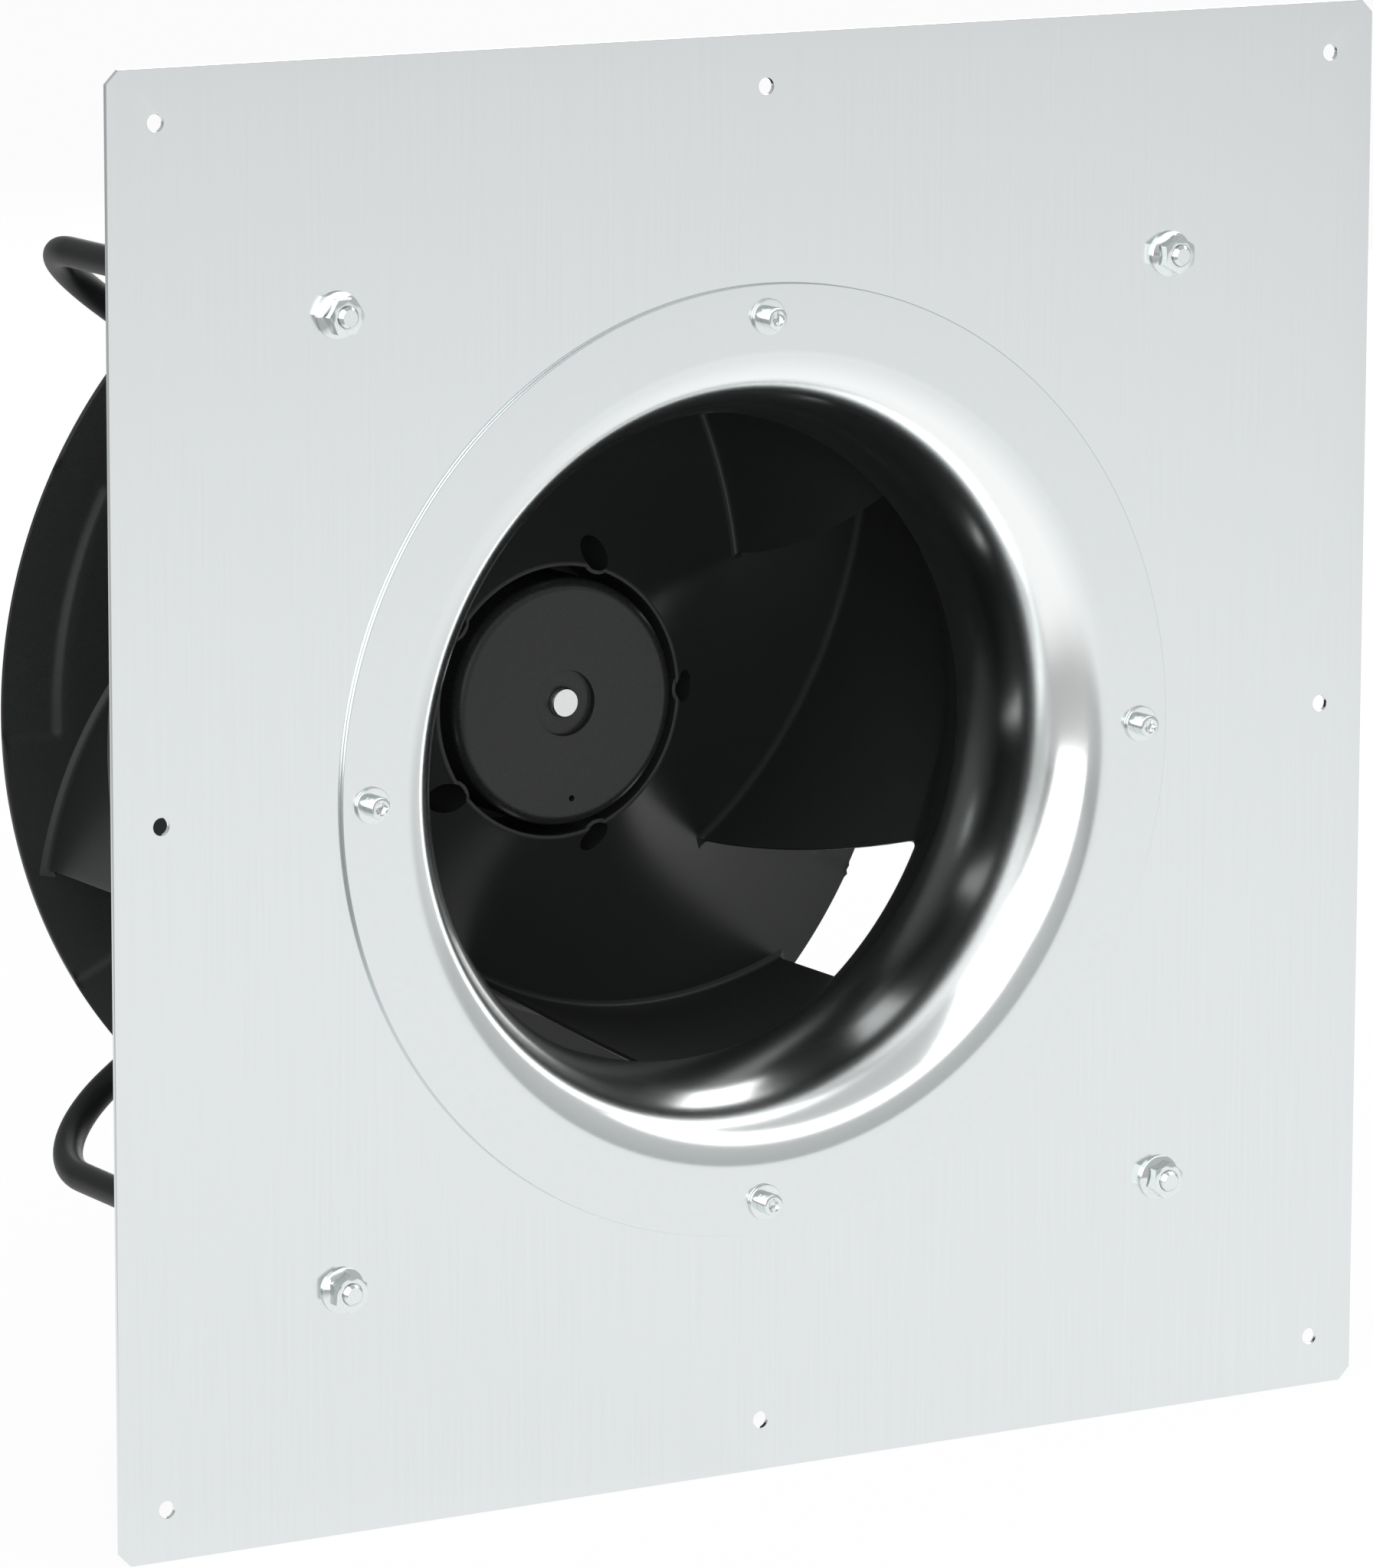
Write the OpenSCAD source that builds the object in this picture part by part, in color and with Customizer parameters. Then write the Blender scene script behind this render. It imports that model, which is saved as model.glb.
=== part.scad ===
// Plug fan: backward-curved impeller on an external-rotor motor, carried behind a square panel plate.
// The fan axis is Y. The front face of the panel plate lies at Y = 0, the air enters from -Y, and +Z is up.

/* [Support plate] */
// Width and height of the square plate
plate_w = 560; // [520:5:640]
// Thickness of the plate
plate_t = 2; // [1.5:0.5:4]
// Length cut off each corner along the edges
corner_cut = 5; // [2:1:12]
// Diameter of the panel holes
panel_hole_d = 6.6; // [5.5:0.1:9]
// Distance from the plate edge to the panel holes
panel_hole_edge = 20; // [14:1:26]

/* [Inlet ring] */
// Inner diameter of the throat
throat_d = 256.8; // [240:0.4:264]
// Width of the rounded mouth between the throat and the flat flange
mouth_w = 31; // [26:0.5:34]
// Sheet thickness of the ring
ring_t = 2; // [1:0.5:3]
// Width of the flat flange outside the mouth
ring_flange_w = 25.6; // [22:0.2:30]
// Depth of the nozzle end behind the plate's front face
nozzle_depth = 63; // [56:0.2:70]
// Distance from the flange edge to the ring screws
ring_screw_edge = 12.5; // [10:0.5:14]
// Thread diameter of the ring screws
ring_screw_d = 5; // [4:1:6]
// Diameter of the ring screw heads
ring_head_d = 8.5; // [8:0.1:10]
// Height of the ring screw heads
ring_head_h = 6; // [4:0.5:8]
// Diameter of the ring washers
ring_washer_d = 14; // [12:0.5:18]
// Thickness of the ring washers
ring_washer_t = 1.5; // [1:0.1:2]

/* [Support frame] */
// Pitch of the four bar ends on the plate, both ways
post_pitch = 370; // [356:2:384]
// Diameter of the round bar
bar_d = 12; // [10:0.5:16]
// Thread diameter of the bar ends
stud_d = 8; // [6:1:8]
// Depth of the bars' inward legs behind the plate's front face
frame_depth = 260; // [256:1:290]
// Radius of the bend from the post to the inward leg
post_bend_r = 45; // [30:1:50]
// Fall of the inward leg below the horizontal, in degrees
leg_fall = 36.3; // [32:0.1:38]
// Pitch of the two upright runs behind the motor
run_pitch = 160; // [156:1:176]
// Radius of the bend from the inward leg to the upright run
run_bend_r = 30; // [20:1:36]
// Flange diameter of the frame nuts
nut_flange_d = 17.9; // [16:0.1:20]
// Width across the flats of the frame nuts
nut_across = 13; // [12:0.5:14]
// Height of the frame nuts
nut_h = 8; // [7:0.5:10]
// Length of the bar end that stands out of the nut
stud_proud = 2; // [1:0.5:4]
// Radius of the weld beads
weld_r = 2.4; // [2:0.1:3]

/* [Motor mount] */
// Thickness of the motor plate
motor_plate_t = 4; // [3:0.5:6]
// Height of the motor plate
motor_plate_h = 170; // [166:1:176]
// Width of the motor plate beyond the upright runs
motor_plate_edge = 14; // [10:1:20]
// Thread diameter of the motor screws
motor_screw_d = 6; // [5:1:6]

/* [Impeller] */
// Diameter of the back plate and the shroud
impeller_d = 418.6; // [410:0.2:430]
// Distance from the bars' inward legs forward to the back plate's rim
rim_gap = 28; // [24:0.5:32]
// Radius of the back plate's curve
hub_curve_r = 281.7; // [278:0.1:286]
// Distance from the rim out to the centre of that curve
hub_curve_out = 42.5; // [40:0.5:46]
// Thickness of the back plate
hub_t = 2.5; // [2:0.1:3.5]
// Outer diameter of the collar around the rotor
collar_d = 112; // [111:0.5:114]
// Wall of the collar
collar_t = 1.7; // [1.5:0.1:1.8]
// Number of shallow pockets at the rim
pocket_count = 6; // [3:1:9]
// Width of the pockets inward from the rim
pocket_w = 20; // [12:1:26]
// Depth of the pockets
pocket_depth = 1.2; // [0.6:0.1:1.6]
// Arc of a pocket, in degrees
pocket_arc = 32; // [20:1:36]
// Radius of the shroud's curve
shroud_curve_r = 93.6; // [90:0.2:100]
// Thickness of the shroud
shroud_t = 2.5; // [2:0.1:3.5]
// Length of the nozzle inside the shroud
nozzle_overlap = 12.3; // [8:0.1:16]
// Running gap between nozzle and shroud
nozzle_gap = 2.4; // [2:0.1:4]
// Number of screws that hold the impeller on the rotor
hub_screw_count = 5; // [3:1:6]
// Thread diameter of these screws
hub_screw_d = 5; // [4:1:6]
// Diameter of the wells that the screws sit in
well_d = 13; // [12:0.5:13.5]

/* [Blades] */
// Number of blades
blade_count = 6; // [5:1:8]
// Radius of the blade's curve in the axial view
blade_curve_r = 202; // [180:1:240]
// Thickness at the middle of the blade
blade_t = 4.5; // [3:0.1:6]
// Thickness at the leading and trailing edges
blade_edge_t = 1.6; // [1:0.1:2.5]
// Distance from the impeller rim to the trailing edge
trail_inset = 9.5; // [6:0.5:14]
// Angle of the trailing edge, in degrees
trail_angle = 18.2; // [14:0.2:24]
// Radius of the leading edge at the back plate
lead_hub_r = 118.6; // [112:0.2:126]
// Angle of the leading edge at the back plate, in degrees
lead_hub_angle = -37.6; // [-44:0.2:-30]
// Radius of the leading edge at the shroud
lead_shroud_r = 143.5; // [140:0.5:150]
// Angle of the leading edge at the shroud, in degrees
lead_shroud_angle = -24; // [-32:0.2:-18]
// How early the leading edge sweeps towards the shroud: 1 is a straight line
lead_bow = 0.67; // [0.5:0.01:1]

/* [Motor] */
// Length of the motor from the bars' inward legs forward to the rotor's face
motor_length = 109; // [106:0.5:112]
// Outer diameter of the rotor
rotor_d = 100; // [96:0.5:102]
// Wall of the rotor cup
rotor_wall = 3; // [2.5:0.1:4]
// Radius of the rotor's front edge
rotor_edge_r = 5; // [3:0.5:6]
// Diameter of the recess around the shaft end
rotor_recess_d = 26.4; // [22:0.2:30]
// Depth of that recess
rotor_recess_depth = 3; // [1:0.5:4]
// Diameter of the shaft
shaft_d = 12; // [10:0.5:13]
// Outer diameter of the ball bearings
bearing_d = 32; // [30:0.5:34]
// Width of the ball bearings
bearing_w = 10; // [9:0.5:11]
// Wall of the bearing tube
tube_wall = 4; // [3:0.1:5]
// Length of the stator core
core_length = 40; // [34:1:42]
// Number of stator teeth
tooth_count = 12; // [9:3:12]
// Number of magnets
magnet_count = 10; // [8:2:14]
// Thickness of the magnets
magnet_t = 3; // [2:0.1:4]
// Air gap between core and magnets
air_gap = 1; // [0.6:0.1:1.5]
// Thickness of the stator flange
stator_flange_t = 8; // [6:0.5:10]

/* [Electronics] */
// Outer diameter of the electronics housing
housing_d = 132; // [128:1:136]
// Length of the housing
housing_length = 50; // [46:1:70]
// Number of cooling fins
fin_count = 36; // [24:2:40]
// Depth of the grooves between the fins
fin_depth = 6; // [3:0.5:7]
// Wall between the fins and the inside
housing_wall = 8; // [7.5:0.1:9]
// Thickness of the cover
cover_t = 4; // [3:0.5:6]
// Thickness of the cover gasket
gasket_t = 1; // [0.5:0.1:2]
// Number of cover screws
cover_screw_count = 6; // [4:1:8]
// Thread diameter of the cover screws
cover_screw_d = 4; // [3:0.5:4]
// Thickness of the circuit board
board_t = 1.6; // [1:0.1:2.4]
// Height of the board above the stator flange
board_height = 12; // [8:0.5:14]
// Thread diameter of the cable gland
gland_d = 12; // [10:1:12]

/* [Hidden] */
$fn = 96;
hole_clearance = 1;
thread_clearance = 0.1;
socket_share = 0.48;
weld_gap = 0.1;

// Plate, ring and nozzle
throat_r = throat_d / 2;
mouth_start_r = throat_r + mouth_w;
mouth_step = 3;
ring_r = mouth_start_r + ring_flange_w;
opening_r = mouth_start_r + hole_clearance;
ring_screw_r = ring_r - ring_screw_edge;
ring_nut_h = 0.8 * ring_screw_d;
ring_nut_across = 1.6 * ring_screw_d;
ring_screw_end = plate_t + ring_nut_h + hole_clearance;
panel_hole_at = plate_w / 2 - panel_hole_edge;

// Bars, motor plate and welds
post = post_pitch / 2;
run_x = run_pitch / 2;
leg_turn = 90 - leg_fall;
run_tangent = run_bend_r * tan(leg_turn / 2);
run_half = post - (post - run_x) * tan(leg_fall) - run_tangent;
leg_length = (post - run_x) / cos(leg_fall) - post_bend_r - run_tangent;
stud_chamfer = 1;
bend_swell = 0.3;
bend_grip = 0.5;
nut_turns = [30, 0, 30, 20];
nut_flange_h = 2;
motor_plate_back = frame_depth - bar_d / 2;
motor_plate_front = motor_plate_back - motor_plate_t;
motor_plate_w = run_pitch + 2 * motor_plate_edge;
weld_length = 40;
weld_end_gap = 10;
weld_start = motor_plate_h / 2 - weld_length - weld_end_gap;
weld_out = 0.8;
weld_sink = 0.65;

// Electronics housing and stator flange
housing_r = housing_d / 2;
housing_inner_r = housing_r - fin_depth - housing_wall;
housing_gap = 4;
housing_hole_r = housing_r + housing_gap;
flange_back = motor_plate_front;
flange_front = flange_back - stator_flange_t;
motor_screw_r = housing_hole_r + 1.5 * motor_screw_d;
stator_flange_r = motor_screw_r + 1.5 * motor_screw_d;
motor_head_h = 0.7 * motor_screw_d;
motor_nut_h = 0.8 * motor_screw_d;
motor_across = 10 / 6 * motor_screw_d;
housing_back = flange_back + housing_length;
cover_front = housing_back + gasket_t;
cover_back = cover_front + cover_t;
cover_screw_r = housing_inner_r + housing_wall / 2;
cover_screw_start = 270 + 180 / cover_screw_count;
cover_head_d = 1.75 * cover_screw_d;
cover_head_h = 0.7 * cover_screw_d;
cover_screw_grip = 0.75 * stator_flange_t;
fin_groove_share = 0.55;
fin_groove_w = PI * housing_d / fin_count * fin_groove_share;
fin_end = 5;
board_front = flange_back + board_height;
board_back = board_front + board_t;
board_edge_gap = 3;
board_r = housing_inner_r - board_edge_gap;
board_screw_inset = 7;
board_screw_r = board_r - board_screw_inset;
board_screw_d = 3;
board_spacer_d = 6;
board_screw_grip = 5;
board_head_h = 2;

// Bearings, tube and shaft
rotor_face = frame_depth - motor_length;
shaft_r = shaft_d / 2;
bearing_r = bearing_d / 2;
ring_step = (bearing_r - shaft_r) / 4;
ball_pitch_r = (bearing_r + shaft_r) / 2;
ball_r = 1.16 * ring_step;
ball_groove_r = ball_r + 0.1;
ball_count = 7;
rotor_boss_length = 14;
boss_end = rotor_face + rotor_boss_length;
shaft_collar_w = 5;
front_bearing = boss_end + shaft_collar_w;
clip_t = 1.2;
clip_depth = 0.7;
clip_out = 2;
clip_gap_angle = 30;
tube_lead = 1.3;
tube_front = front_bearing - clip_t - tube_lead;
bearing_setback = 2;
rear_bearing = flange_back - bearing_w - bearing_setback;
spring_t = 1.5;
tube_r = bearing_r + tube_wall;
bearing_lip = 2;
tube_bore_r = bearing_r - bearing_lip;
shaft_end_proud = 1;
shaft_end = flange_back + shaft_end_proud;
shaft_collar_step = 1.5;
shaft_collar_r = shaft_r + shaft_collar_step;

// Rotor, stator core and windings
rotor_r = rotor_d / 2;
rotor_inner_r = rotor_r - rotor_wall;
magnet_r = rotor_inner_r - magnet_t;
core_r = magnet_r - air_gap;
core_setback = 14;
core_front = rotor_face + core_setback;
core_back = core_front + core_length;
yoke_t = 6;
yoke_r = tube_r + yoke_t;
shoe_t = 5;
shoe_r = core_r - shoe_t;
tooth_w = 8;
slot_w = 3;
coil_end = 4;
coil_side = 2.5;
coil_gap = 0.5;
wire_hole_d = 10;
wire_hole_out = 6;
wire_hole_r = yoke_r + wire_hole_out;
stator_boss_step = 5;
stator_boss_r = rotor_r - stator_boss_step;
stator_boss_h = 12;
stator_boss_front = flange_front - stator_boss_h;
rotor_end_gap = 4;
rotor_end = stator_boss_front - rotor_end_gap;
rotor_boss_wall = 4;
rotor_boss_r = rotor_recess_d / 2 + rotor_boss_wall;
rotor_dot_d = 2.5;
rotor_dot_inset = 11;
rotor_dot_r = rotor_r - rotor_dot_inset;
rotor_dot_angle = 274;
magnet_gap_angle = 2;
magnet_overhang = 2;

// Impeller
impeller_r = impeller_d / 2;
rim_depth = frame_depth - rim_gap;
hub_curve_x = impeller_r + hub_curve_out;
hub_curve_y = rim_depth - sqrt(hub_curve_r * hub_curve_r - hub_curve_out * hub_curve_out);
shroud_lip_r = throat_r + ring_t + nozzle_gap;
shroud_front = nozzle_depth - nozzle_overlap;
shroud_curve_x = shroud_lip_r + shroud_curve_r;
collar_r = collar_d / 2;
collar_inner_r = collar_r - collar_t;
collar_mid_r = collar_r - collar_t / 2;
collar_front = hub_depth(collar_r);
well_wall = 1.5;
well_drop = 0.5;
well_out = 4.6;
well_r = collar_r + well_out;
hub_floor_t = 4;
hub_floor_setback = 49;
hub_floor_back = rotor_face + hub_floor_setback;
hub_floor_edge = 2;
hub_floor_r = well_r + well_d / 2 + well_wall + hub_floor_edge;
rotor_flange_t = 6;
hub_head_h = hub_screw_d;
hub_head_d = 1.7 * hub_screw_d;
pocket_start = 151;
trail_r = impeller_r - trail_inset;
blade_chord_steps = 16;
blade_span_steps = 6;

// Cable gland, measured outward from the fan axis
gland_depth = flange_back + 0.52 * housing_length;
gland_boss_lip = 3;
gland_boss_in = housing_inner_r - gland_boss_lip;
gland_boss_proud = 2;
gland_boss_out = housing_r + gland_boss_proud;
gland_boss_d = 2 * gland_d;
gland_across = 1.5 * gland_d;
gland_nut_h = 5;
gland_hex_h = 6;
gland_cap_h = 12;
gland_bore_d = 0.66 * gland_d;
gland_seal_d = 0.86 * gland_d;
gland_neck_d = 1.1 * gland_d;

// Shared shapes. Local x and y are seen from the inlet, and local z is the depth behind the plate.

module from_inlet() {
    rotate([90, 0, 0]) mirror([0, 0, 1]) children();
}

module ring_of(count, radius, start = 0) {
    for (i = [0 : count - 1])
        rotate([0, 0, start + 360 * i / count]) translate([radius, 0, 0]) children();
}

// The four bar ends, from the top right one round to the left, each with its own turn.
module at_posts(turns = [0, 0, 0, 0]) {
    corners = [[1, 1], [-1, 1], [-1, -1], [1, -1]];
    for (i = [0 : 3])
        translate([post * corners[i].x, post * corners[i].y, 0]) rotate([0, 0, turns[i]]) children();
}

module at_cover_screws() {
    ring_of(cover_screw_count, cover_screw_r, cover_screw_start) children();
}

module at_panel_holes() {
    for (x = [-1, 0, 1], y = [-1, 0, 1])
        if (x != 0 || y != 0) translate([x * panel_hole_at, y * panel_hole_at, 0]) children();
}

// A round rod from one depth to another.
module rod(d, from, to) {
    translate([0, 0, from]) cylinder(d = d, h = to - from);
}

// A cutter that passes both faces of the piece between two depths.
module bore(d, from, to) {
    rod(d, from - hole_clearance, to + hole_clearance);
}

// A ring turned from a rectangle.
module turned_ring(inner_r, outer_r, from, to) {
    rotate_extrude() translate([inner_r, from]) square([outer_r - inner_r, to - from]);
}

module hexagon(across, from, to) {
    translate([0, 0, from]) cylinder(d = across / cos(30), h = to - from, $fn = 6);
}

// The part of a wall around a circle in the half section, cut to a range of radius and depth.
module curved_wall(centre, wall_from_r, wall_to_r, corner, size) {
    intersection() {
        translate(centre) difference() {
            circle(r = wall_to_r, $fn = 240);
            circle(r = wall_from_r, $fn = 240);
        }
        translate(corner) square(size);
    }
}

// Depth of the back plate's front surface at a radius.
function hub_depth(r) = hub_curve_y + sqrt(pow(hub_curve_r, 2) - pow(hub_curve_x - r, 2));

// Depth of the shroud's inner surface at a radius.
function shroud_depth(r) = shroud_front + sqrt(pow(shroud_curve_r, 2) - pow(shroud_curve_x - r, 2));

// Panel plate and inlet ring

module support_plate() {
    color("gainsboro") from_inlet() difference() {
        linear_extrude(plate_t) difference() {
            square(plate_w, center = true);
            for (turn = [0 : 90 : 270])
                rotate(turn) translate([plate_w / 2, plate_w / 2]) rotate(45)
                    square([corner_cut * sqrt(2), plate_w], center = true);
        }
        bore(2 * opening_r, 0, plate_t);
        at_panel_holes() bore(panel_hole_d, 0, plate_t);
        at_posts() bore(stud_d + hole_clearance, 0, plate_t);
        ring_of(4, ring_screw_r) bore(ring_screw_d + hole_clearance / 2, 0, plate_t);
    }
}

// The mouth is a quarter of an ellipse, so far into the sheet, from the flange to the nozzle end and back.
function mouth_point(inset, turn) =
    [mouth_start_r - (mouth_w - inset) * sin(turn),
     nozzle_depth - (nozzle_depth + ring_t - inset) * cos(turn)];

module inlet_ring() {
    flow_side = [for (turn = [0 : mouth_step : 90]) mouth_point(0, turn)];
    back_side = [for (turn = [90 : -mouth_step : 0]) mouth_point(ring_t, turn)];
    color("silver") from_inlet() difference() {
        rotate_extrude() polygon(concat([[ring_r, -ring_t]], flow_side, back_side, [[ring_r, 0]]));
        ring_of(4, ring_screw_r) bore(ring_screw_d + hole_clearance / 2, -ring_t, 0);
    }
}

module ring_screws() {
    head_back = -ring_t - ring_washer_t;
    socket_floor = ring_head_h * 0.45;
    color("silver") from_inlet() ring_of(4, ring_screw_r) difference() {
        union() {
            rod(ring_head_d, head_back - ring_head_h, head_back);
            rod(ring_screw_d, head_back, ring_screw_end);
        }
        hexagon(ring_head_d * socket_share,
            head_back - ring_head_h - hole_clearance, head_back - socket_floor);
    }
}

module ring_washers() {
    color("silver") from_inlet() ring_of(4, ring_screw_r)
        turned_ring((ring_screw_d + thread_clearance) / 2, ring_washer_d / 2,
            -ring_t - ring_washer_t, -ring_t);
}

module ring_nuts() {
    color("silver") from_inlet() ring_of(4, ring_screw_r) difference() {
        hexagon(ring_nut_across, plate_t, plate_t + ring_nut_h);
        bore(ring_screw_d + thread_clearance, plate_t, plate_t + ring_nut_h);
    }
}

// Support frame

// A bend of the bar around the local z axis. The bar swells a little where it is bent.
module bar_bend(bend_r, turn) {
    rotate_extrude(angle = turn) translate([bend_r, 0]) circle(d = bar_d + bend_swell);
}

// One end of the left bar: threaded end, post, bend, inward leg and bend to the upright run.
module bar_end() {
    stud_front = -nut_h - stud_proud;
    translate([-post, post, stud_front])
        cylinder(d1 = stud_d - 2 * stud_chamfer, d2 = stud_d, h = stud_chamfer);
    translate([-post, post, 0]) rod(stud_d, stud_front + stud_chamfer, plate_t);
    translate([-post, post, 0]) rod(bar_d, plate_t, frame_depth - post_bend_r + bend_grip);
    translate([-post, post, frame_depth - post_bend_r]) rotate([0, 0, -leg_fall])
        translate([post_bend_r, 0, 0]) rotate([90, 0, 0]) rotate([0, 0, 90]) bar_bend(post_bend_r, 90);
    translate([-post, post, frame_depth]) rotate([0, 0, -leg_fall]) rotate([0, 90, 0])
        rod(bar_d, post_bend_r - bend_grip, post_bend_r + leg_length + bend_grip);
    translate([-run_x - run_bend_r, run_half, frame_depth]) bar_bend(run_bend_r, leg_turn);
}

module bar() {
    run_reach = run_half + bend_grip;
    bar_end();
    mirror([0, 1, 0]) bar_end();
    translate([-run_x, 0, frame_depth]) rotate([-90, 0, 0]) rod(bar_d, -run_reach, run_reach);
}

module frame_bar_left() {
    color("dimgray") from_inlet() bar();
}

module frame_bar_right() {
    color("dimgray") from_inlet() mirror([1, 0, 0]) bar();
}

module frame_nuts() {
    color("silver") from_inlet() at_posts(nut_turns) difference() {
        union() {
            rod(nut_flange_d, -nut_flange_h, 0);
            hexagon(nut_across, -nut_h, -nut_flange_h);
        }
        bore(stud_d + thread_clearance, -nut_h, 0);
    }
}

// Weld beads in the corners between the upright runs and the motor plate.
module frame_welds() {
    color("dimgray") from_inlet()
        for (bar_side = [-1, 1], bead_side = [-1, 1], low = [weld_start, -weld_start - weld_length])
            translate([0, low + weld_length, 0]) rotate([90, 0, 0]) linear_extrude(weld_length) difference() {
                translate([bar_side * run_x + bead_side * weld_out * bar_d / 2,
                           motor_plate_back + weld_sink * weld_r])
                    circle(r = weld_r);
                translate([bar_side * run_x, frame_depth]) circle(d = bar_d);
                translate([-motor_plate_w / 2, motor_plate_front]) square([motor_plate_w, motor_plate_t]);
            }
}

module motor_plate() {
    color("dimgray") from_inlet() difference() {
        translate([-motor_plate_w / 2, -motor_plate_h / 2, motor_plate_front])
            cube([motor_plate_w, motor_plate_h, motor_plate_t]);
        bore(2 * housing_hole_r, motor_plate_front, motor_plate_back);
        ring_of(4, motor_screw_r, 45)
            bore(motor_screw_d + hole_clearance / 2, motor_plate_front, motor_plate_back);
    }
}

module motor_screws() {
    color("silver") from_inlet() ring_of(4, motor_screw_r, 45) {
        hexagon(motor_across, flange_front - motor_head_h, flange_front);
        rod(motor_screw_d, flange_front, motor_plate_back + motor_nut_h + hole_clearance);
    }
}

module motor_nuts() {
    color("silver") from_inlet() ring_of(4, motor_screw_r, 45) difference() {
        hexagon(motor_across, motor_plate_back, motor_plate_back + motor_nut_h);
        bore(motor_screw_d + thread_clearance, motor_plate_back, motor_plate_back + motor_nut_h);
    }
}

// Motor: the parts that stand still

module stator_flange() {
    color("lightgray") from_inlet() difference() {
        union() {
            rod(2 * stator_flange_r, flange_front, flange_back);
            rod(2 * stator_boss_r, stator_boss_front, flange_front);
            rod(2 * tube_r, tube_front, stator_boss_front);
        }
        bore(2 * tube_bore_r, tube_front, flange_back);
        bore(2 * bearing_r, tube_front, front_bearing + bearing_w - hole_clearance);
        rod(2 * (bearing_r + clip_depth), front_bearing - clip_t, front_bearing);
        rod(2 * bearing_r, rear_bearing - spring_t, flange_back + hole_clearance);
        ring_of(4, motor_screw_r, 45) bore(motor_screw_d + hole_clearance / 2, flange_front, flange_back);
        at_cover_screws()
            rod(cover_screw_d + thread_clearance,
                flange_back - cover_screw_grip, flange_back + hole_clearance);
        rotate([0, 0, 45]) translate([wire_hole_r, 0, 0]) bore(wire_hole_d, stator_boss_front, flange_back);
    }
}

module stator_core() {
    color("slategray") from_inlet() translate([0, 0, core_front]) linear_extrude(core_length) difference() {
        circle(r = core_r);
        circle(r = tube_r);
        difference() {
            circle(r = shoe_r);
            circle(r = yoke_r);
            ring_of(tooth_count, yoke_r - 1) translate([0, -tooth_w / 2]) square([core_r - yoke_r, tooth_w]);
        }
        ring_of(tooth_count, shoe_r - 1, 180 / tooth_count)
            translate([0, -slot_w / 2]) square([core_r, slot_w]);
    }
}

// One coil around each tooth.
module stator_windings() {
    coil_in = yoke_r + 2 * coil_gap;
    coil_reach = shoe_r - coil_gap - coil_in;
    inside = tooth_w + 2 * thread_clearance;
    outside = inside + 2 * coil_side;
    color("chocolate") from_inlet() ring_of(tooth_count, coil_in) difference() {
        translate([0, -outside / 2, core_front - coil_end])
            cube([coil_reach, outside, core_length + 2 * coil_end]);
        translate([-hole_clearance, -inside / 2, core_front - thread_clearance])
            cube([coil_reach + 2 * hole_clearance, inside, core_length + 2 * thread_clearance]);
    }
}

// Ball bearings: the outer ring and the balls stay with the tube, the inner ring turns with the shaft.

module bearing_outer(front) {
    color("silver") from_inlet() rotate_extrude() difference() {
        translate([bearing_r - ring_step, front]) square([ring_step, bearing_w]);
        translate([ball_pitch_r, front + bearing_w / 2]) circle(r = ball_groove_r);
    }
}

module bearing_inner(front) {
    color("silver") from_inlet() rotate_extrude() difference() {
        translate([shaft_r, front]) square([ring_step, bearing_w]);
        translate([ball_pitch_r, front + bearing_w / 2]) circle(r = ball_groove_r);
    }
}

module bearing_balls(front) {
    color("white") from_inlet() ring_of(ball_count, ball_pitch_r)
        translate([0, 0, front + bearing_w / 2]) sphere(r = ball_r, $fn = 32);
}

module front_bearing_outer() {
    bearing_outer(front_bearing);
}

module front_bearing_balls() {
    bearing_balls(front_bearing);
}

module front_bearing_inner() {
    bearing_inner(front_bearing);
}

module rear_bearing_outer() {
    bearing_outer(rear_bearing);
}

module rear_bearing_balls() {
    bearing_balls(rear_bearing);
}

module rear_bearing_inner() {
    bearing_inner(rear_bearing);
}

module bearing_circlip() {
    color("dimgray") from_inlet() rotate([0, 0, clip_gap_angle / 2])
        rotate_extrude(angle = 360 - clip_gap_angle) translate([tube_bore_r, front_bearing - clip_t])
            square([bearing_r + clip_depth - tube_bore_r, clip_t]);
}

module preload_washer() {
    color("silver") from_inlet()
        turned_ring(tube_bore_r, bearing_r - thread_clearance, rear_bearing - spring_t, rear_bearing);
}

module shaft_circlip() {
    back = rear_bearing + bearing_w;
    color("dimgray") from_inlet() rotate([0, 0, clip_gap_angle / 2])
        rotate_extrude(angle = 360 - clip_gap_angle)
            translate([shaft_r - clip_depth, back]) square([clip_depth + clip_out, clip_t]);
}

// Motor: the parts that turn

module motor_shaft() {
    color("silver") from_inlet() rotate_extrude() difference() {
        union() {
            translate([0, rotor_face]) square([shaft_r, shaft_end - rotor_face]);
            translate([0, boss_end]) square([shaft_collar_r, front_bearing - boss_end]);
        }
        translate([shaft_r - clip_depth, rear_bearing + bearing_w]) square([shaft_r, clip_t]);
    }
}

module rotor_cup() {
    length = rotor_end - rotor_face;
    color("dimgray") from_inlet() difference() {
        rotate_extrude() translate([0, rotor_face]) {
            difference() {
                square([rotor_r, length]);
                translate([rotor_r - rotor_edge_r, 0]) difference() {
                    square(rotor_edge_r);
                    translate([0, rotor_edge_r]) circle(r = rotor_edge_r);
                }
                translate([0, rotor_wall]) square([rotor_inner_r, length]);
            }
            square([rotor_boss_r, boss_end - rotor_face]);
            translate([rotor_r, hub_floor_back - rotor_face])
                square([hub_floor_r - rotor_r, rotor_flange_t]);
        }
        rod(rotor_recess_d, rotor_face - hole_clearance, rotor_face + rotor_recess_depth);
        bore(shaft_d, rotor_face, boss_end);
        ring_of(hub_screw_count, well_r) bore(hub_screw_d, hub_floor_back, hub_floor_back + rotor_flange_t);
        rotate([0, 0, rotor_dot_angle]) translate([rotor_dot_r, 0, 0])
            bore(rotor_dot_d, rotor_face, rotor_face + rotor_wall);
    }
}

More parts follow.
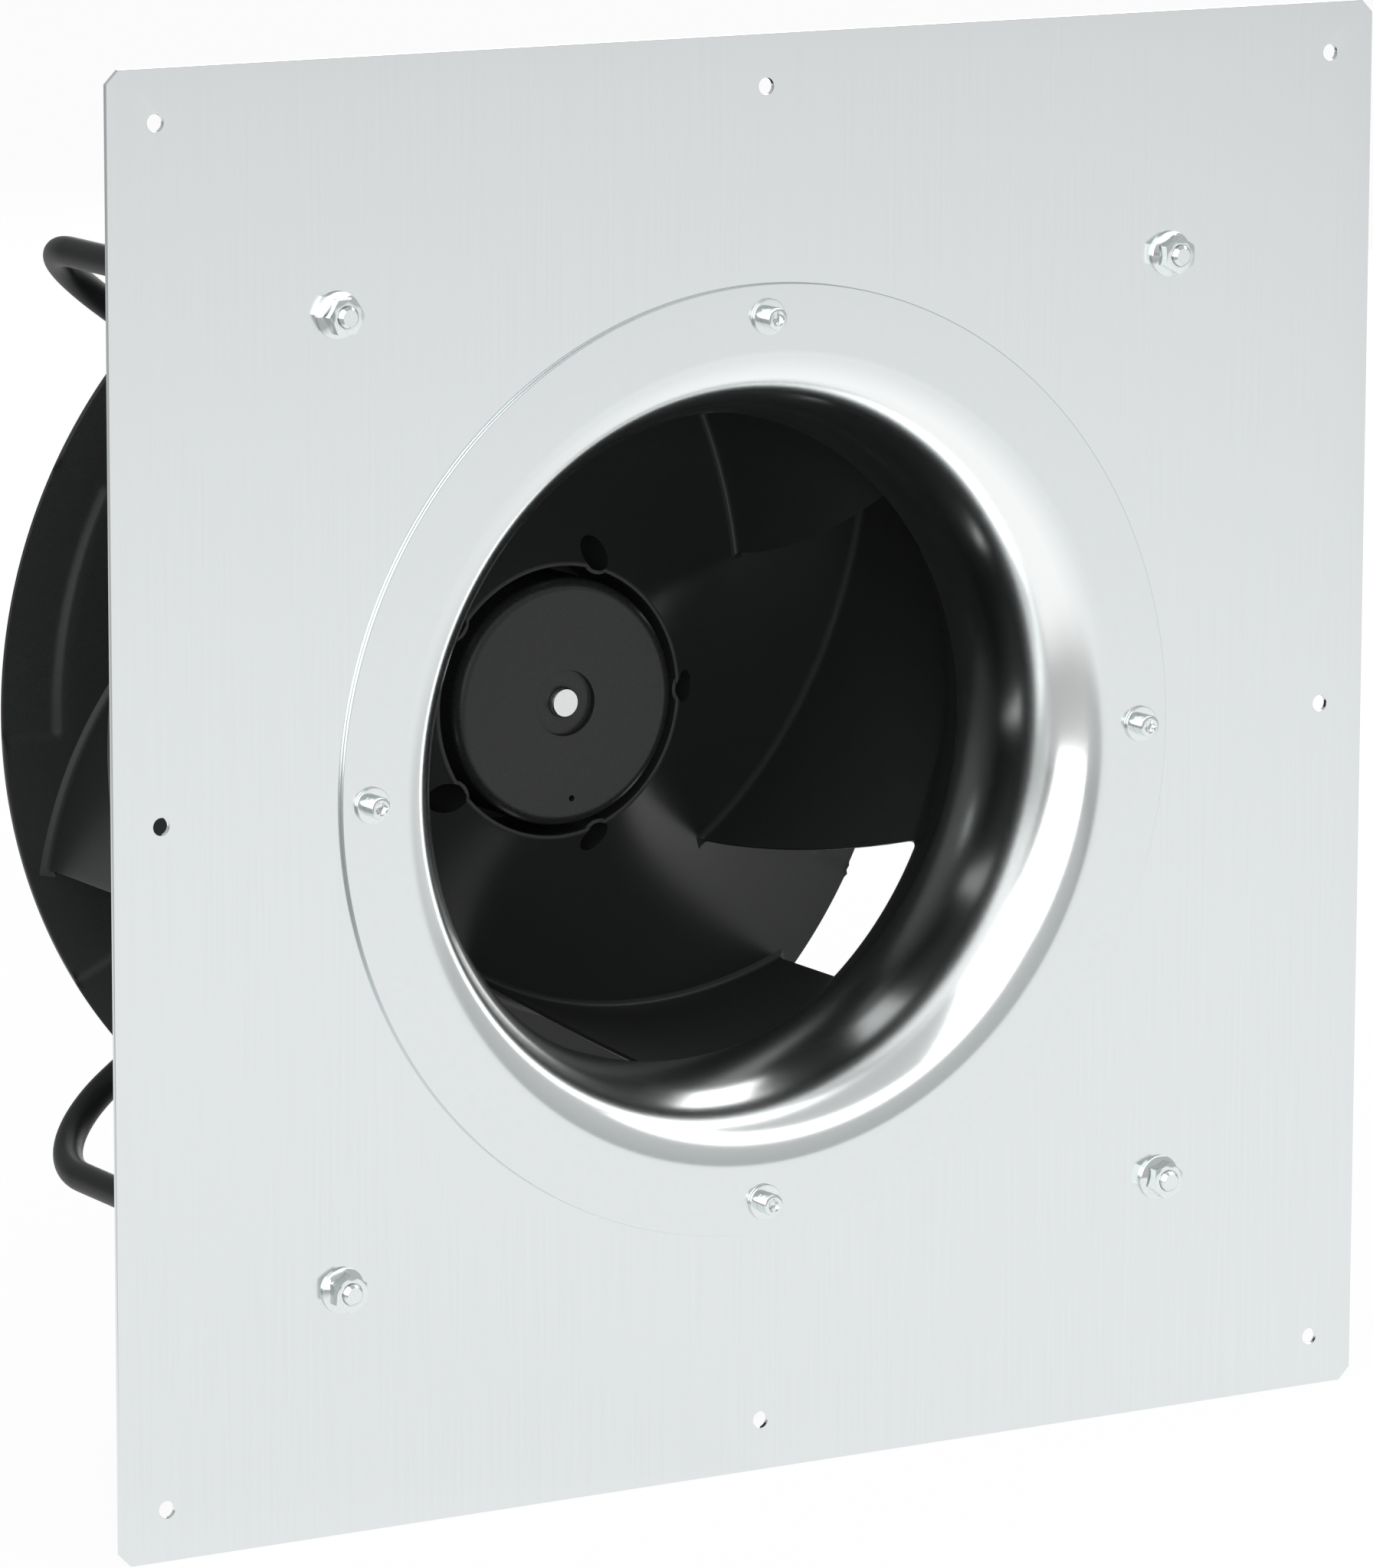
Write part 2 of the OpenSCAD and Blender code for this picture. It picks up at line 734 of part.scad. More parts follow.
module rotor_magnets() {
    arc = 360 / magnet_count - magnet_gap_angle;
    color("slategray") from_inlet() for (i = [0 : magnet_count - 1])
        rotate([0, 0, 360 * i / magnet_count]) rotate_extrude(angle = arc)
            translate([magnet_r, core_front - magnet_overhang])
                square([magnet_t, core_length + 2 * magnet_overhang]);
}

// Impeller

// The back plate with its collar, screw wells and shallow rim pockets.
module impeller_back_plate() {
    centre = [hub_curve_x, hub_curve_y];
    color("#1c1c1e") from_inlet() difference() {
        union() {
            rotate_extrude() {
                curved_wall(centre, hub_curve_r, hub_curve_r + hub_t,
                    [collar_mid_r, collar_front], [impeller_r - collar_mid_r, rim_depth]);
                translate([collar_inner_r, collar_front])
                    square([collar_t, hub_floor_back - collar_front]);
                translate([collar_inner_r, hub_floor_back - hub_floor_t])
                    square([hub_floor_r - collar_inner_r, hub_floor_t]);
            }
            intersection() {
                ring_of(hub_screw_count, well_r) rod(well_d + 2 * well_wall, collar_front, hub_floor_back);
                rotate_extrude() {
                    curved_wall(centre, hub_curve_r + hub_t / 2, hub_curve_r + hub_floor_back,
                        [collar_mid_r, 0], [hub_floor_r, hub_floor_back - hub_floor_t / 2]);
                    translate([collar_inner_r - 2 * well_wall, collar_front + well_drop])
                        square([3 * well_wall, hub_floor_back - hub_floor_t / 2 - collar_front - well_drop]);
                }
            }
        }
        ring_of(hub_screw_count, well_r) {
            rod(well_d, collar_front - hole_clearance, hub_floor_back - hub_floor_t);
            bore(hub_screw_d + hole_clearance / 2, hub_floor_back - hub_floor_t, hub_floor_back);
        }
        for (i = [0 : pocket_count - 1])
            rotate([0, 0, pocket_start + 360 * i / pocket_count]) rotate_extrude(angle = pocket_arc)
                curved_wall(centre, hub_curve_r - hole_clearance, hub_curve_r + pocket_depth,
                    [impeller_r - pocket_w, 0], [pocket_w + hole_clearance, rim_depth + 2 * hub_t]);
    }
}

// Blades: each side is a net of points between an arc on the back plate and an arc on the shroud.

function on_circle(r, angle) = [r * cos(angle), r * sin(angle)];

// A point on the outward-bulging arc through two points, and so far out from it.
function on_arc(from, to, share, out) =
    let (span = to - from,
         along = span / norm(span),
         outward = [along.y, -along.x],
         half = asin(norm(span) / 2 / blade_curve_r),
         turn = half * (2 * share - 1),
         centre = (from + to) / 2 - outward * blade_curve_r * cos(half))
    centre + (blade_curve_r + out) * (outward * cos(turn) + along * sin(turn));

function blade_thickness(share) = blade_edge_t + (blade_t - blade_edge_t) * sin(180 * share);

// A point of the blade, so far out from its inner side, along its chord and from back plate to shroud.
function blade_point(out, share, span) =
    let (trail = on_circle(trail_r, trail_angle),
         root = on_arc(on_circle(lead_hub_r, lead_hub_angle), trail, share, out),
         tip = on_arc(on_circle(lead_shroud_r, lead_shroud_angle), trail, share, out),
         root_depth = hub_depth(norm(root)) - weld_gap,
         tip_depth = shroud_depth(norm(tip)) + weld_gap,
         root_angle = atan2(root.y, root.x),
         tip_angle = atan2(tip.y, tip.x),
         plan = on_circle(norm(root) + (norm(tip) - norm(root)) * span,
                          root_angle + (tip_angle - root_angle) * span))
    [plan.x, plan.y, root_depth + (tip_depth - root_depth) * pow(span, lead_bow)];

module blade() {
    across = blade_span_steps + 1;
    side = (blade_chord_steps + 1) * across;
    points = [
        for (outer = [0, 1], i = [0 : blade_chord_steps], j = [0 : blade_span_steps])
            let (share = i / blade_chord_steps)
            blade_point(outer * blade_thickness(share), share, j / blade_span_steps)
    ];
    last = blade_chord_steps * across;
    faces = [
        for (i = [0 : blade_chord_steps - 1], j = [0 : blade_span_steps - 1])
            let (a = i * across + j, b = a + 1, c = a + across, d = c + 1)
            each [[a, b, c], [b, d, c], [side + a, side + c, side + b], [side + b, side + c, side + d]],
        for (j = [0 : blade_span_steps - 1])
            each [[j, side + j, j + 1], [j + 1, side + j, side + j + 1],
                  [last + j, last + j + 1, side + last + j],
                  [last + j + 1, side + last + j + 1, side + last + j]],
        for (i = [0 : blade_chord_steps - 1])
            let (a = i * across, b = a + across, p = a + blade_span_steps, q = p + across)
            each [[a, b, side + a], [b, side + b, side + a], [p, side + p, q], [q, side + p, side + q]]
    ];
    polyhedron(points, faces);
}

module impeller_blades() {
    color("#1c1c1e") from_inlet() for (i = [0 : blade_count - 1])
        rotate([0, 0, 360 * i / blade_count]) blade();
}

module impeller_shroud() {
    color("#1c1c1e") from_inlet() rotate_extrude()
        curved_wall([shroud_curve_x, shroud_front], shroud_curve_r - shroud_t, shroud_curve_r,
            [shroud_lip_r, shroud_front], [impeller_r - shroud_lip_r, shroud_curve_r]);
}

module impeller_screws() {
    seat = hub_floor_back - hub_floor_t;
    color("silver") from_inlet() ring_of(hub_screw_count, well_r) difference() {
        union() {
            rod(hub_head_d, seat - hub_head_h, seat);
            rod(hub_screw_d, seat, hub_floor_back + rotor_flange_t);
        }
        hexagon(socket_share * hub_head_d, seat - hub_head_h - hole_clearance, seat - 0.45 * hub_head_h);
    }
}

// Electronics at the back of the motor

module electronics_housing() {
    color("lightgray") from_inlet() difference() {
        union() {
            difference() {
                rod(2 * housing_r, flange_back, housing_back);
                ring_of(fin_count, housing_r - fin_depth)
                    translate([0, -fin_groove_w / 2, flange_back + fin_end])
                        cube([2 * fin_depth, fin_groove_w, housing_length - 2 * fin_end]);
                bore(2 * housing_inner_r, flange_back, housing_back);
            }
            translate([0, 0, gland_depth]) rotate([90, 0, 0])
                rod(gland_boss_d, gland_boss_in, gland_boss_out);
        }
        at_cover_screws() bore(cover_screw_d + hole_clearance / 2, flange_back, housing_back);
        translate([0, 0, gland_depth]) rotate([90, 0, 0]) bore(gland_d, gland_boss_in, gland_boss_out);
    }
}

module circuit_board() {
    color("darkgreen") from_inlet() difference() {
        rod(2 * board_r, board_front, board_back);
        ring_of(3, board_screw_r) bore(board_screw_d + thread_clearance, board_front, board_back);
    }
}

module board_spacers() {
    color("silver") from_inlet() ring_of(3, board_screw_r) difference() {
        hexagon(board_spacer_d, flange_back, board_front);
        bore(board_screw_d, flange_back, board_front);
    }
}

module board_screws() {
    color("silver") from_inlet() ring_of(3, board_screw_r) {
        rod(board_screw_d, board_front - board_screw_grip, board_back);
        rod(2 * board_screw_d, board_back, board_back + board_head_h);
    }
}

module capacitors() {
    can_d = 16;
    can_h = 0.5 * housing_length;
    color("midnightblue") from_inlet() for (x = [-1, 0, 1])
        translate([x * (can_d + 2), 0.45 * board_r, 0]) rod(can_d, board_back, board_back + can_h);
}

module choke_coil() {
    turn_r = 5;
    ring_mid_r = 9;
    color("chocolate") from_inlet() translate([-0.45 * board_r, -0.25 * board_r, board_back + turn_r])
        rotate_extrude() translate([ring_mid_r, 0]) circle(r = turn_r);
}

module terminal_block() {
    width = 30;
    height = 12;
    way = width / 5;
    color("seagreen") from_inlet() translate([0, -0.35 * board_r, board_back]) difference() {
        cube([width, height, height]);
        for (i = [0 : 4])
            translate([way * (i + 0.5), -hole_clearance, height / 2]) rotate([-90, 0, 0])
                rod(0.55 * way, 0, 0.7 * height);
    }
}

module cover_gasket() {
    color("black") from_inlet() difference() {
        turned_ring(housing_inner_r, housing_r, housing_back, cover_front);
        at_cover_screws() bore(cover_screw_d + hole_clearance / 2, housing_back, cover_front);
    }
}

module electronics_cover() {
    color("lightgray") from_inlet() difference() {
        rod(2 * housing_r, cover_front, cover_back);
        at_cover_screws() bore(cover_screw_d + hole_clearance / 2, cover_front, cover_back);
    }
}

module cover_screws() {
    color("silver") from_inlet() at_cover_screws() difference() {
        union() {
            rod(cover_screw_d, flange_back - cover_screw_grip, cover_back);
            rod(cover_head_d, cover_back, cover_back + cover_head_h);
        }
        hexagon(socket_share * cover_head_d,
            cover_back + 0.4 * cover_head_h, cover_back + cover_head_h + hole_clearance);
    }
}

// Places a gland piece: its local z points down, away from the fan axis.
module at_gland() {
    from_inlet() translate([0, 0, gland_depth]) rotate([90, 0, 0]) children();
}

module gland_body() {
    hex_end = gland_boss_out + gland_hex_h;
    neck_end = hex_end + 0.7 * gland_cap_h;
    color("dimgray") at_gland() difference() {
        union() {
            rod(gland_d, gland_boss_in - gland_nut_h - hole_clearance, gland_boss_out);
            hexagon(gland_across, gland_boss_out, hex_end);
            rod(gland_neck_d, hex_end, neck_end);
        }
        bore(gland_bore_d, gland_boss_in - gland_nut_h - hole_clearance, neck_end);
        bore(gland_seal_d, hex_end, neck_end);
    }
}

module gland_locknut() {
    color("dimgray") at_gland() difference() {
        hexagon(gland_across - 2, gland_boss_in - gland_nut_h, gland_boss_in);
        bore(gland_d, gland_boss_in - gland_nut_h, gland_boss_in);
    }
}

module gland_seal() {
    start = gland_boss_out + gland_hex_h - hole_clearance;
    color("black") at_gland()
        turned_ring(0.23 * gland_d, gland_seal_d / 2, start, start + 0.7 * gland_cap_h + hole_clearance);
}

module gland_cap() {
    start = gland_boss_out + gland_hex_h;
    neck_end = start + 0.7 * gland_cap_h;
    color("dimgray") at_gland() difference() {
        hexagon(gland_across, start, start + gland_cap_h);
        rod(gland_neck_d, start - hole_clearance, neck_end);
        bore(gland_bore_d, start, start + gland_cap_h);
    }
}

support_plate();
inlet_ring();
ring_screws();
ring_washers();
ring_nuts();
frame_bar_left();
frame_bar_right();
frame_nuts();
frame_welds();
motor_plate();
motor_screws();
motor_nuts();
stator_flange();
stator_core();
stator_windings();
front_bearing_outer();
front_bearing_balls();
front_bearing_inner();
rear_bearing_outer();
rear_bearing_balls();
rear_bearing_inner();
bearing_circlip();
preload_washer();
shaft_circlip();
motor_shaft();
rotor_cup();
rotor_magnets();
impeller_back_plate();
impeller_blades();
impeller_shroud();
impeller_screws();
electronics_housing();
circuit_board();
board_spacers();
board_screws();
capacitors();
choke_coil();
terminal_block();
cover_gasket();
electronics_cover();
cover_screws();
gland_body();
gland_locknut();
gland_seal();
gland_cap();
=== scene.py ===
import cmath
import math

import bmesh
import bpy
from mathutils import Matrix, Vector


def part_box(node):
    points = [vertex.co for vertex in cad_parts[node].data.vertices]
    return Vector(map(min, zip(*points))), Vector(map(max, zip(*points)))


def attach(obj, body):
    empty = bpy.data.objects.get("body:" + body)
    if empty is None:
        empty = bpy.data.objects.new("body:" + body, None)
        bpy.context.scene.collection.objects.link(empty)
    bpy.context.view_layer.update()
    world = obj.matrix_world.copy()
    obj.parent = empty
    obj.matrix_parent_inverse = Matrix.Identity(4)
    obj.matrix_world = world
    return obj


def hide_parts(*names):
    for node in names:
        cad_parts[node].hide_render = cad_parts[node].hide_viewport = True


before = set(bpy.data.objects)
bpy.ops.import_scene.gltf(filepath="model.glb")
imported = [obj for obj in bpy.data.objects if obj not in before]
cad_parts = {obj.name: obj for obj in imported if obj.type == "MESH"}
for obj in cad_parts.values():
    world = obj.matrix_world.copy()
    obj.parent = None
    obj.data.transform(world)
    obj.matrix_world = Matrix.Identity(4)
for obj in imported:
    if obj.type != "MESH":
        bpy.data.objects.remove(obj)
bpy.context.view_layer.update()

# Support plate: the square panel that carries the whole fan and is bolted to the wall of an air handling unit.
# Hot-dip galvanised steel sheet, laser cut with snipped corners, eight panel holes and one large opening.
# The zinc coat is smooth and semi-bright, with hardly visible streaks along the rolling direction.

MM = 0.001


def linear(colour):
    """The linear colour that a shader takes, from an sRGB hex value."""
    shares = [int(colour[i:i + 2], 16) / 255 for i in (1, 3, 5)]
    return [s / 12.92 if s <= 0.04045 else ((s + 0.055) / 1.055) ** 2.4 for s in shares] + [1]


def add_node(material, kind, inputs=None, **settings):
    """Adds a node with its settings, and gives its inputs values or links."""
    tree = material.node_tree
    node = tree.nodes.new(kind)
    for name, value in settings.items():
        setattr(node, name, value)
    for name, value in (inputs or {}).items():
        if isinstance(value, bpy.types.NodeSocket):
            tree.links.new(value, node.inputs[name])
        else:
            node.inputs[name].default_value = value
    return node


def surface(name, dark, light, rough, grain, relief, metallic=0, level=0.5, stretch=(1, 1, 1)):
    """A material whose colour and gloss vary over a grain, with relief: both sizes are in millimetres."""
    low, high = 0.3, 0.7
    material = bpy.data.materials.new(name)
    material.use_nodes = True
    shader = material.node_tree.nodes["Principled BSDF"]
    shader.inputs["Metallic"].default_value = metallic
    shader.inputs["Specular IOR Level"].default_value = level
    place = add_node(material, "ShaderNodeTexCoord").outputs["Object"]
    place = add_node(material, "ShaderNodeMapping", {"Vector": place, "Scale": stretch}).outputs["Vector"]
    noise = add_node(material, "ShaderNodeTexNoise",
                     {"Vector": place, "Scale": 1 / (grain * MM), "Detail": 3})
    ramp = add_node(material, "ShaderNodeValToRGB", {"Fac": noise.outputs["Fac"]})
    for stop, position, colour in zip(ramp.color_ramp.elements, (low, high), (dark, light)):
        stop.position = position
        stop.color = linear(colour)
    gloss = add_node(material, "ShaderNodeMapRange",
                     {"Value": noise.outputs["Fac"], "From Min": low, "From Max": high,
                      "To Min": rough[0], "To Max": rough[1]})
    bump = add_node(material, "ShaderNodeBump", {"Height": noise.outputs["Fac"], "Distance": relief * MM})
    links = material.node_tree.links
    links.new(ramp.outputs["Color"], shader.inputs["Base Color"])
    links.new(gloss.outputs["Result"], shader.inputs["Roughness"])
    links.new(bump.outputs["Normal"], shader.inputs["Normal"])
    return material


def add_circle(bm, radius, x=0, z=0, y=0, segments=48):
    """Adds an open circle that faces along the fan axis: sizes in millimetres."""
    place = Matrix.Translation(Vector((x, y, z)) * MM) @ Matrix.Rotation(math.radians(90), 4, "X")
    return bmesh.ops.create_circle(bm, radius=radius * MM, segments=segments, matrix=place)["verts"]


def soften(bm, width, angle=40, segments=2):
    """Rounds every edge that turns by more than the angle, as deburring or a mould leaves it."""
    sharp = [e for e in bm.edges if e.is_manifold and e.calc_face_angle() > math.radians(angle)]
    bmesh.ops.bevel(bm, geom=sharp, offset=width * MM, segments=segments, profile=0.5, affect="EDGES",
                    clamp_overlap=True, material=-1)


def add_piece(name, bm, material, body, slot, *nodes):
    """Makes an object of a finished mesh, which rides its body and stands for CAD nodes.

    Large faces set the normals, so that flat faces stay flat between their rounded edges.
    """
    mesh = bpy.data.meshes.new(name)
    for face in bm.faces:
        face.smooth = True
    bm.to_mesh(mesh)
    bm.free()
    mesh.set_sharp_from_angle(angle=math.radians(35))
    mesh.materials.append(material)
    piece = bpy.data.objects.new(name, mesh)
    bpy.context.scene.collection.objects.link(piece)
    normals = piece.modifiers.new("flat_faces", "WEIGHTED_NORMAL")
    normals.keep_sharp = True
    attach(piece, body)
    if nodes:
        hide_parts(*nodes)


plate_low, plate_high = (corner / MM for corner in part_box("support_plate"))
plate_half = plate_high.x
plate_t = plate_high.y
corner_cut = 5
panel_hole_r = 3.3
panel_hole_at = plate_half - 20
post_at = 185
stud_hole_r = 4.5
opening_r = 160.4
ring_screw_at = 172.5
ring_screw_hole_r = 2.75
sheet_edge = 0.25

# Zinc on rolled sheet: a cool, pale and slightly blurred mirror.
# Its faint upright streaks are drawn wide enough to show.
galvanised_sheet = surface("galvanised_steel_sheet", "#e2e6e7", "#e4e8e9", (0.15, 0.16), grain=1.5,
                           relief=0.0002, metallic=1, stretch=(1, 1, 0.02))

bm = bmesh.new()
snip = plate_half - corner_cut
outline = [(plate_half, snip), (snip, plate_half), (-snip, plate_half), (-plate_half, snip),
           (-plate_half, -snip), (-snip, -plate_half), (snip, -plate_half), (plate_half, -snip)]
corners = [bm.verts.new(Vector((x, 0, z)) * MM) for x, z in outline]
for start, end in zip(corners, corners[1:] + corners[:1]):
    bm.edges.new((start, end))
add_circle(bm, opening_r, segments=192)
for x in (-1, 0, 1):
    for z in (-1, 0, 1):
        if x or z:
            add_circle(bm, panel_hole_r, x * panel_hole_at, z * panel_hole_at)
        if x and z:
            add_circle(bm, stud_hole_r, x * post_at, z * post_at)
        if bool(x) != bool(z):
            add_circle(bm, ring_screw_hole_r, x * ring_screw_at, z * ring_screw_at)
bmesh.ops.triangle_fill(bm, use_beauty=True, edges=bm.edges[:], normal=(0, -1, 0))
back = bmesh.ops.extrude_face_region(bm, geom=bm.faces[:])["geom"]
back_verts = [v for v in back if isinstance(v, bmesh.types.BMVert)]
bmesh.ops.translate(bm, vec=(0, plate_t * MM, 0), verts=back_verts)
bmesh.ops.recalc_face_normals(bm, faces=bm.faces[:])
soften(bm, sheet_edge)
add_piece("panel_sheet", bm, galvanised_sheet, "frame", "galvanised_sheet", "support_plate")

# Inlet ring: the rounded nozzle that leads the air into the impeller.
# Spun from the same galvanised sheet: its mouth is a quarter of an ellipse, and the roller left very fine rings.
# Its flat flange lies on the plate and four cap screws hold it.


def arc(centre_r, centre_y, radius, start, end, steps, length=0):
    """Points of an arc in the half section, with 0 degrees pointing away from the axis and 90 to the back.

    A length makes it part of an ellipse that is so long in depth.
    """
    turns = [math.radians(start + (end - start) * i / steps) for i in range(steps + 1)]
    return [(centre_r + radius * math.cos(t), centre_y + (length or radius) * math.sin(t)) for t in turns]


def turned(outline, steps=96, closed=True):
    """Turns an outline of (radius, depth) points in millimetres about the fan axis."""
    bm = bmesh.new()
    verts = [bm.verts.new(Vector((r, y, 0)) * MM) for r, y in outline]
    ends = verts[1:] + verts[:1] if closed else verts[1:]
    edges = [bm.edges.new(pair) for pair in zip(verts, ends)]
    bmesh.ops.spin(bm, geom=verts + edges, cent=(0, 0, 0), axis=(0, 1, 0), angle=math.tau, steps=steps,
                   use_merge=True)
    bmesh.ops.remove_doubles(bm, verts=bm.verts[:], dist=0.001 * MM)
    bmesh.ops.recalc_face_normals(bm, faces=bm.faces[:])
    return bm


ring_t = 2
throat_r = 128.4
mouth_w = 31
mouth_start = throat_r + mouth_w
ring_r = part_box("inlet_ring")[1].x / MM
nozzle_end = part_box("inlet_ring")[1].y / MM
spun_edge = 0.4
# Where the painted highlight in the mouth starts and where it reaches full brightness, as radii in millimetres.
painted_highlight_start, painted_highlight_end = mouth_start - 3, mouth_start - 11

# The same zinc, drawn out by the roller, in a flange that matches the plate. Towards the throat the mouth is
# painted brighter, a painted highlight in its colour.
# The marks of the roller are too fine to show, so they are drawn wider than they are.
spun_ring = surface("spun_galvanised_steel", "#e2e6e7", "#e4e8e9", (0.16, 0.18), grain=0.8, relief=0.0004,
                    metallic=1, stretch=(0.3, 1, 0.3))
shader = spun_ring.node_tree.nodes["Principled BSDF"]
zinc = shader.inputs["Base Color"].links[0].from_socket
place = add_node(spun_ring, "ShaderNodeTexCoord").outputs["Object"]
place = add_node(spun_ring, "ShaderNodeVectorMath", {0: place, 1: (1, 0, 1)}, operation="MULTIPLY").outputs[0]
reach = add_node(spun_ring, "ShaderNodeVectorMath", {0: place}, operation="LENGTH").outputs["Value"]
# Painted highlight: inward of the mouth's start, its colour turns near white and stands in for the white
# reflections in it.
painted_highlight = add_node(spun_ring, "ShaderNodeMapRange",
                   {"Value": reach, "From Min": painted_highlight_start * MM, "From Max": painted_highlight_end * MM})
blend = add_node(spun_ring, "ShaderNodeMix",
                 {"Factor": painted_highlight.outputs["Result"], "A": zinc, "B": linear("#f8fafa")}, data_type="RGBA")
spun_ring.node_tree.links.new(blend.outputs["Result"], shader.inputs["Base Color"])

outline = [(ring_r, -ring_t)]
outline += arc(mouth_start, nozzle_end, mouth_w, -90, -180, 48, nozzle_end + ring_t)
outline += arc(mouth_start, nozzle_end, mouth_w - ring_t, -180, -90, 48, nozzle_end)
outline += [(ring_r, 0)]
bm = turned(outline, steps=240)
soften(bm, spun_edge, angle=60)
add_piece("spun_inlet_nozzle", bm, spun_ring, "frame", "galvanised_ring", "inlet_ring")

# Ring fasteners: four socket cap screws with plain washers in front of the flange and hexagon nuts behind it.
# Zinc-plated steel, so the turned faces are bright and the rolled edges catch the light.


def repeat(bm, places):
    """Copies a shape that was made on the fan axis to each place, and takes the first one away."""
    shape = bm.verts[:] + bm.edges[:] + bm.faces[:]
    for place in places:
        made = bmesh.ops.duplicate(bm, geom=shape)["geom"]
        bmesh.ops.transform(bm, matrix=place, verts=[v for v in made if isinstance(v, bmesh.types.BMVert)])
    bmesh.ops.delete(bm, geom=[v for v in shape if isinstance(v, bmesh.types.BMVert)], context="VERTS")


def around(count, radius, start=0):
    """Places on a circle about the fan axis, counted to the left as seen from the inlet."""
    turns = [-math.radians(start + 360 * i / count) for i in range(count)]
    return [Matrix.Rotation(t, 4, "Y") @ Matrix.Translation((radius * MM, 0, 0)) for t in turns]


def add_loop(bm, y, radius=0, across=0, crown_r=0, fall=0):
    """Adds a round loop, or a hexagon across its flats whose corners fall back beyond the crown's radius."""
    loop = add_circle(bm, radius or 1, y=y)
    for v in loop if across else ():
        turn = math.atan2(v.co.z, v.co.x) % math.radians(60) - math.radians(30)
        reach = across / 2 / math.cos(turn)
        v.co.x *= reach
        v.co.z *= reach
        v.co.y += fall * max(0, reach - crown_r) * MM
    return loop


def skin(bm, loops, closed=True):
    """Bridges loops of vertices, one after the other."""
    for first, second in zip(loops, loops[1:] + loops[:1] if closed else loops[1:]):
        rims = {e for loop in (first, second) for v in loop for e in v.link_edges if e.other_vert(v) in loop}
        bmesh.ops.bridge_loops(bm, edges=list(rims))
    if not closed:
        bmesh.ops.holes_fill(bm, edges=bm.edges[:], sides=0)
    bmesh.ops.recalc_face_normals(bm, faces=bm.faces[:])


thread_r = 2.5
thread_chamfer = 0.6
washer_r = 7
washer_t = 1.5
washer_bore_r = thread_r + 0.05
washer_edge = 0.3
head_r = 4.25
head_h = 6
head_foot = 0.3
# Points of the rounded edge: how far in from the side, and how far back from the front.
head_crown = [(1.1, 0), (0.6, 0.12), (0.15, 0.45), (0, 0.9)]
socket_across = 4
socket_depth = 2.6
socket_tip = 0.4
socket_tip_r = 0.2
socket_chamfer = 0.35
socket_mouth_r = socket_across / 2 + 0.55
ring_nut_across = 8
ring_nut_h = 4
ring_nut_crown_r = ring_nut_across / 2 - 0.15
ring_nut_bore_r = thread_r + 0.1
countersink = 0.4
chamfer_slope = 0.58
flange_front = -ring_t
head_back = flange_front - washer_t
head_front = head_back - head_h
ring_nut_back = plate_t + ring_nut_h
screw_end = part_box("ring_screws")[1].y / MM

# Bright zinc plating: a pale metal with small, crisp highlights, and a trace of unevenness from the bath.
bright_zinc = surface("bright_zinc_plating", "#e0e5e5", "#ebefef", (0.08, 0.12), grain=0.6, relief=0.001,
                      metallic=1)

bm = turned([(washer_bore_r, flange_front), (washer_r, flange_front), (washer_r, head_back),
             (washer_bore_r, head_back)], steps=64)
soften(bm, washer_edge)
repeat(bm, around(4, ring_screw_at))
add_piece("ring_plain_washers", bm, bright_zinc, "frame", "zinc_plated_steel", "ring_washers")

bm = bmesh.new()
skin(bm, [
    add_loop(bm, head_front + socket_depth + socket_tip, radius=socket_tip_r),
    add_loop(bm, head_front + socket_depth, across=socket_across),
    add_loop(bm, head_front + socket_chamfer, across=socket_across),
    add_loop(bm, head_front, radius=socket_mouth_r),
    *(add_loop(bm, head_front + drop, radius=head_r - inset) for inset, drop in head_crown),
    add_loop(bm, head_back - head_foot, radius=head_r),
    add_loop(bm, head_back, radius=head_r - head_foot),
    add_loop(bm, head_back, radius=thread_r),
    add_loop(bm, screw_end - thread_chamfer, radius=thread_r),
    add_loop(bm, screw_end, radius=thread_r - thread_chamfer),
], closed=False)
repeat(bm, around(4, ring_screw_at))
add_piece("ring_cap_screws", bm, bright_zinc, "frame", "zinc_plated_steel", "ring_screws")

bm = bmesh.new()
skin(bm, [
    add_loop(bm, plate_t, radius=ring_nut_bore_r),
    add_loop(bm, plate_t, radius=ring_nut_crown_r),
    add_loop(bm, plate_t, across=ring_nut_across, crown_r=ring_nut_crown_r, fall=chamfer_slope),
    add_loop(bm, ring_nut_back, across=ring_nut_across, crown_r=ring_nut_crown_r, fall=-chamfer_slope),
    add_loop(bm, ring_nut_back, radius=ring_nut_crown_r),
    add_loop(bm, ring_nut_back, radius=ring_nut_bore_r + countersink),
    add_loop(bm, ring_nut_back - countersink, radius=ring_nut_bore_r),
])
repeat(bm, around(4, ring_screw_at))
add_piece("ring_hexagon_nuts", bm, bright_zinc, "frame", "zinc_plated_steel", "ring_nuts")

# Frame bars: two round bars, each bent into a bow that reaches from the plate back to the motor.
# Cold-bent mild steel with a satin black powder coat. The ends are turned down, threaded M8 and zinc plated.


def end_edges(made):
    """The edges of a new open end, out of what an operator returned."""
    verts = {v for v in made if isinstance(v, bmesh.types.BMVert)}
    edges = [e for e in made if isinstance(e, bmesh.types.BMEdge)]
    return [e for e in edges if e.verts[0] in verts and e.verts[1] in verts]


def draw_out(bm, edges, way, swell=1):
    """Extends the open end of a bar by a vector in millimetres, and scales the new end."""
    made = bmesh.ops.extrude_edge_only(bm, edges=edges)["geom"]
    verts = [v for v in made if isinstance(v, bmesh.types.BMVert)]
    bmesh.ops.translate(bm, vec=way * MM, verts=verts)
    centre = sum((v.co for v in verts), Vector()) / len(verts)
    bmesh.ops.scale(bm, vec=(swell, swell, swell), space=Matrix.Translation(-centre), verts=verts)
    return end_edges(made)


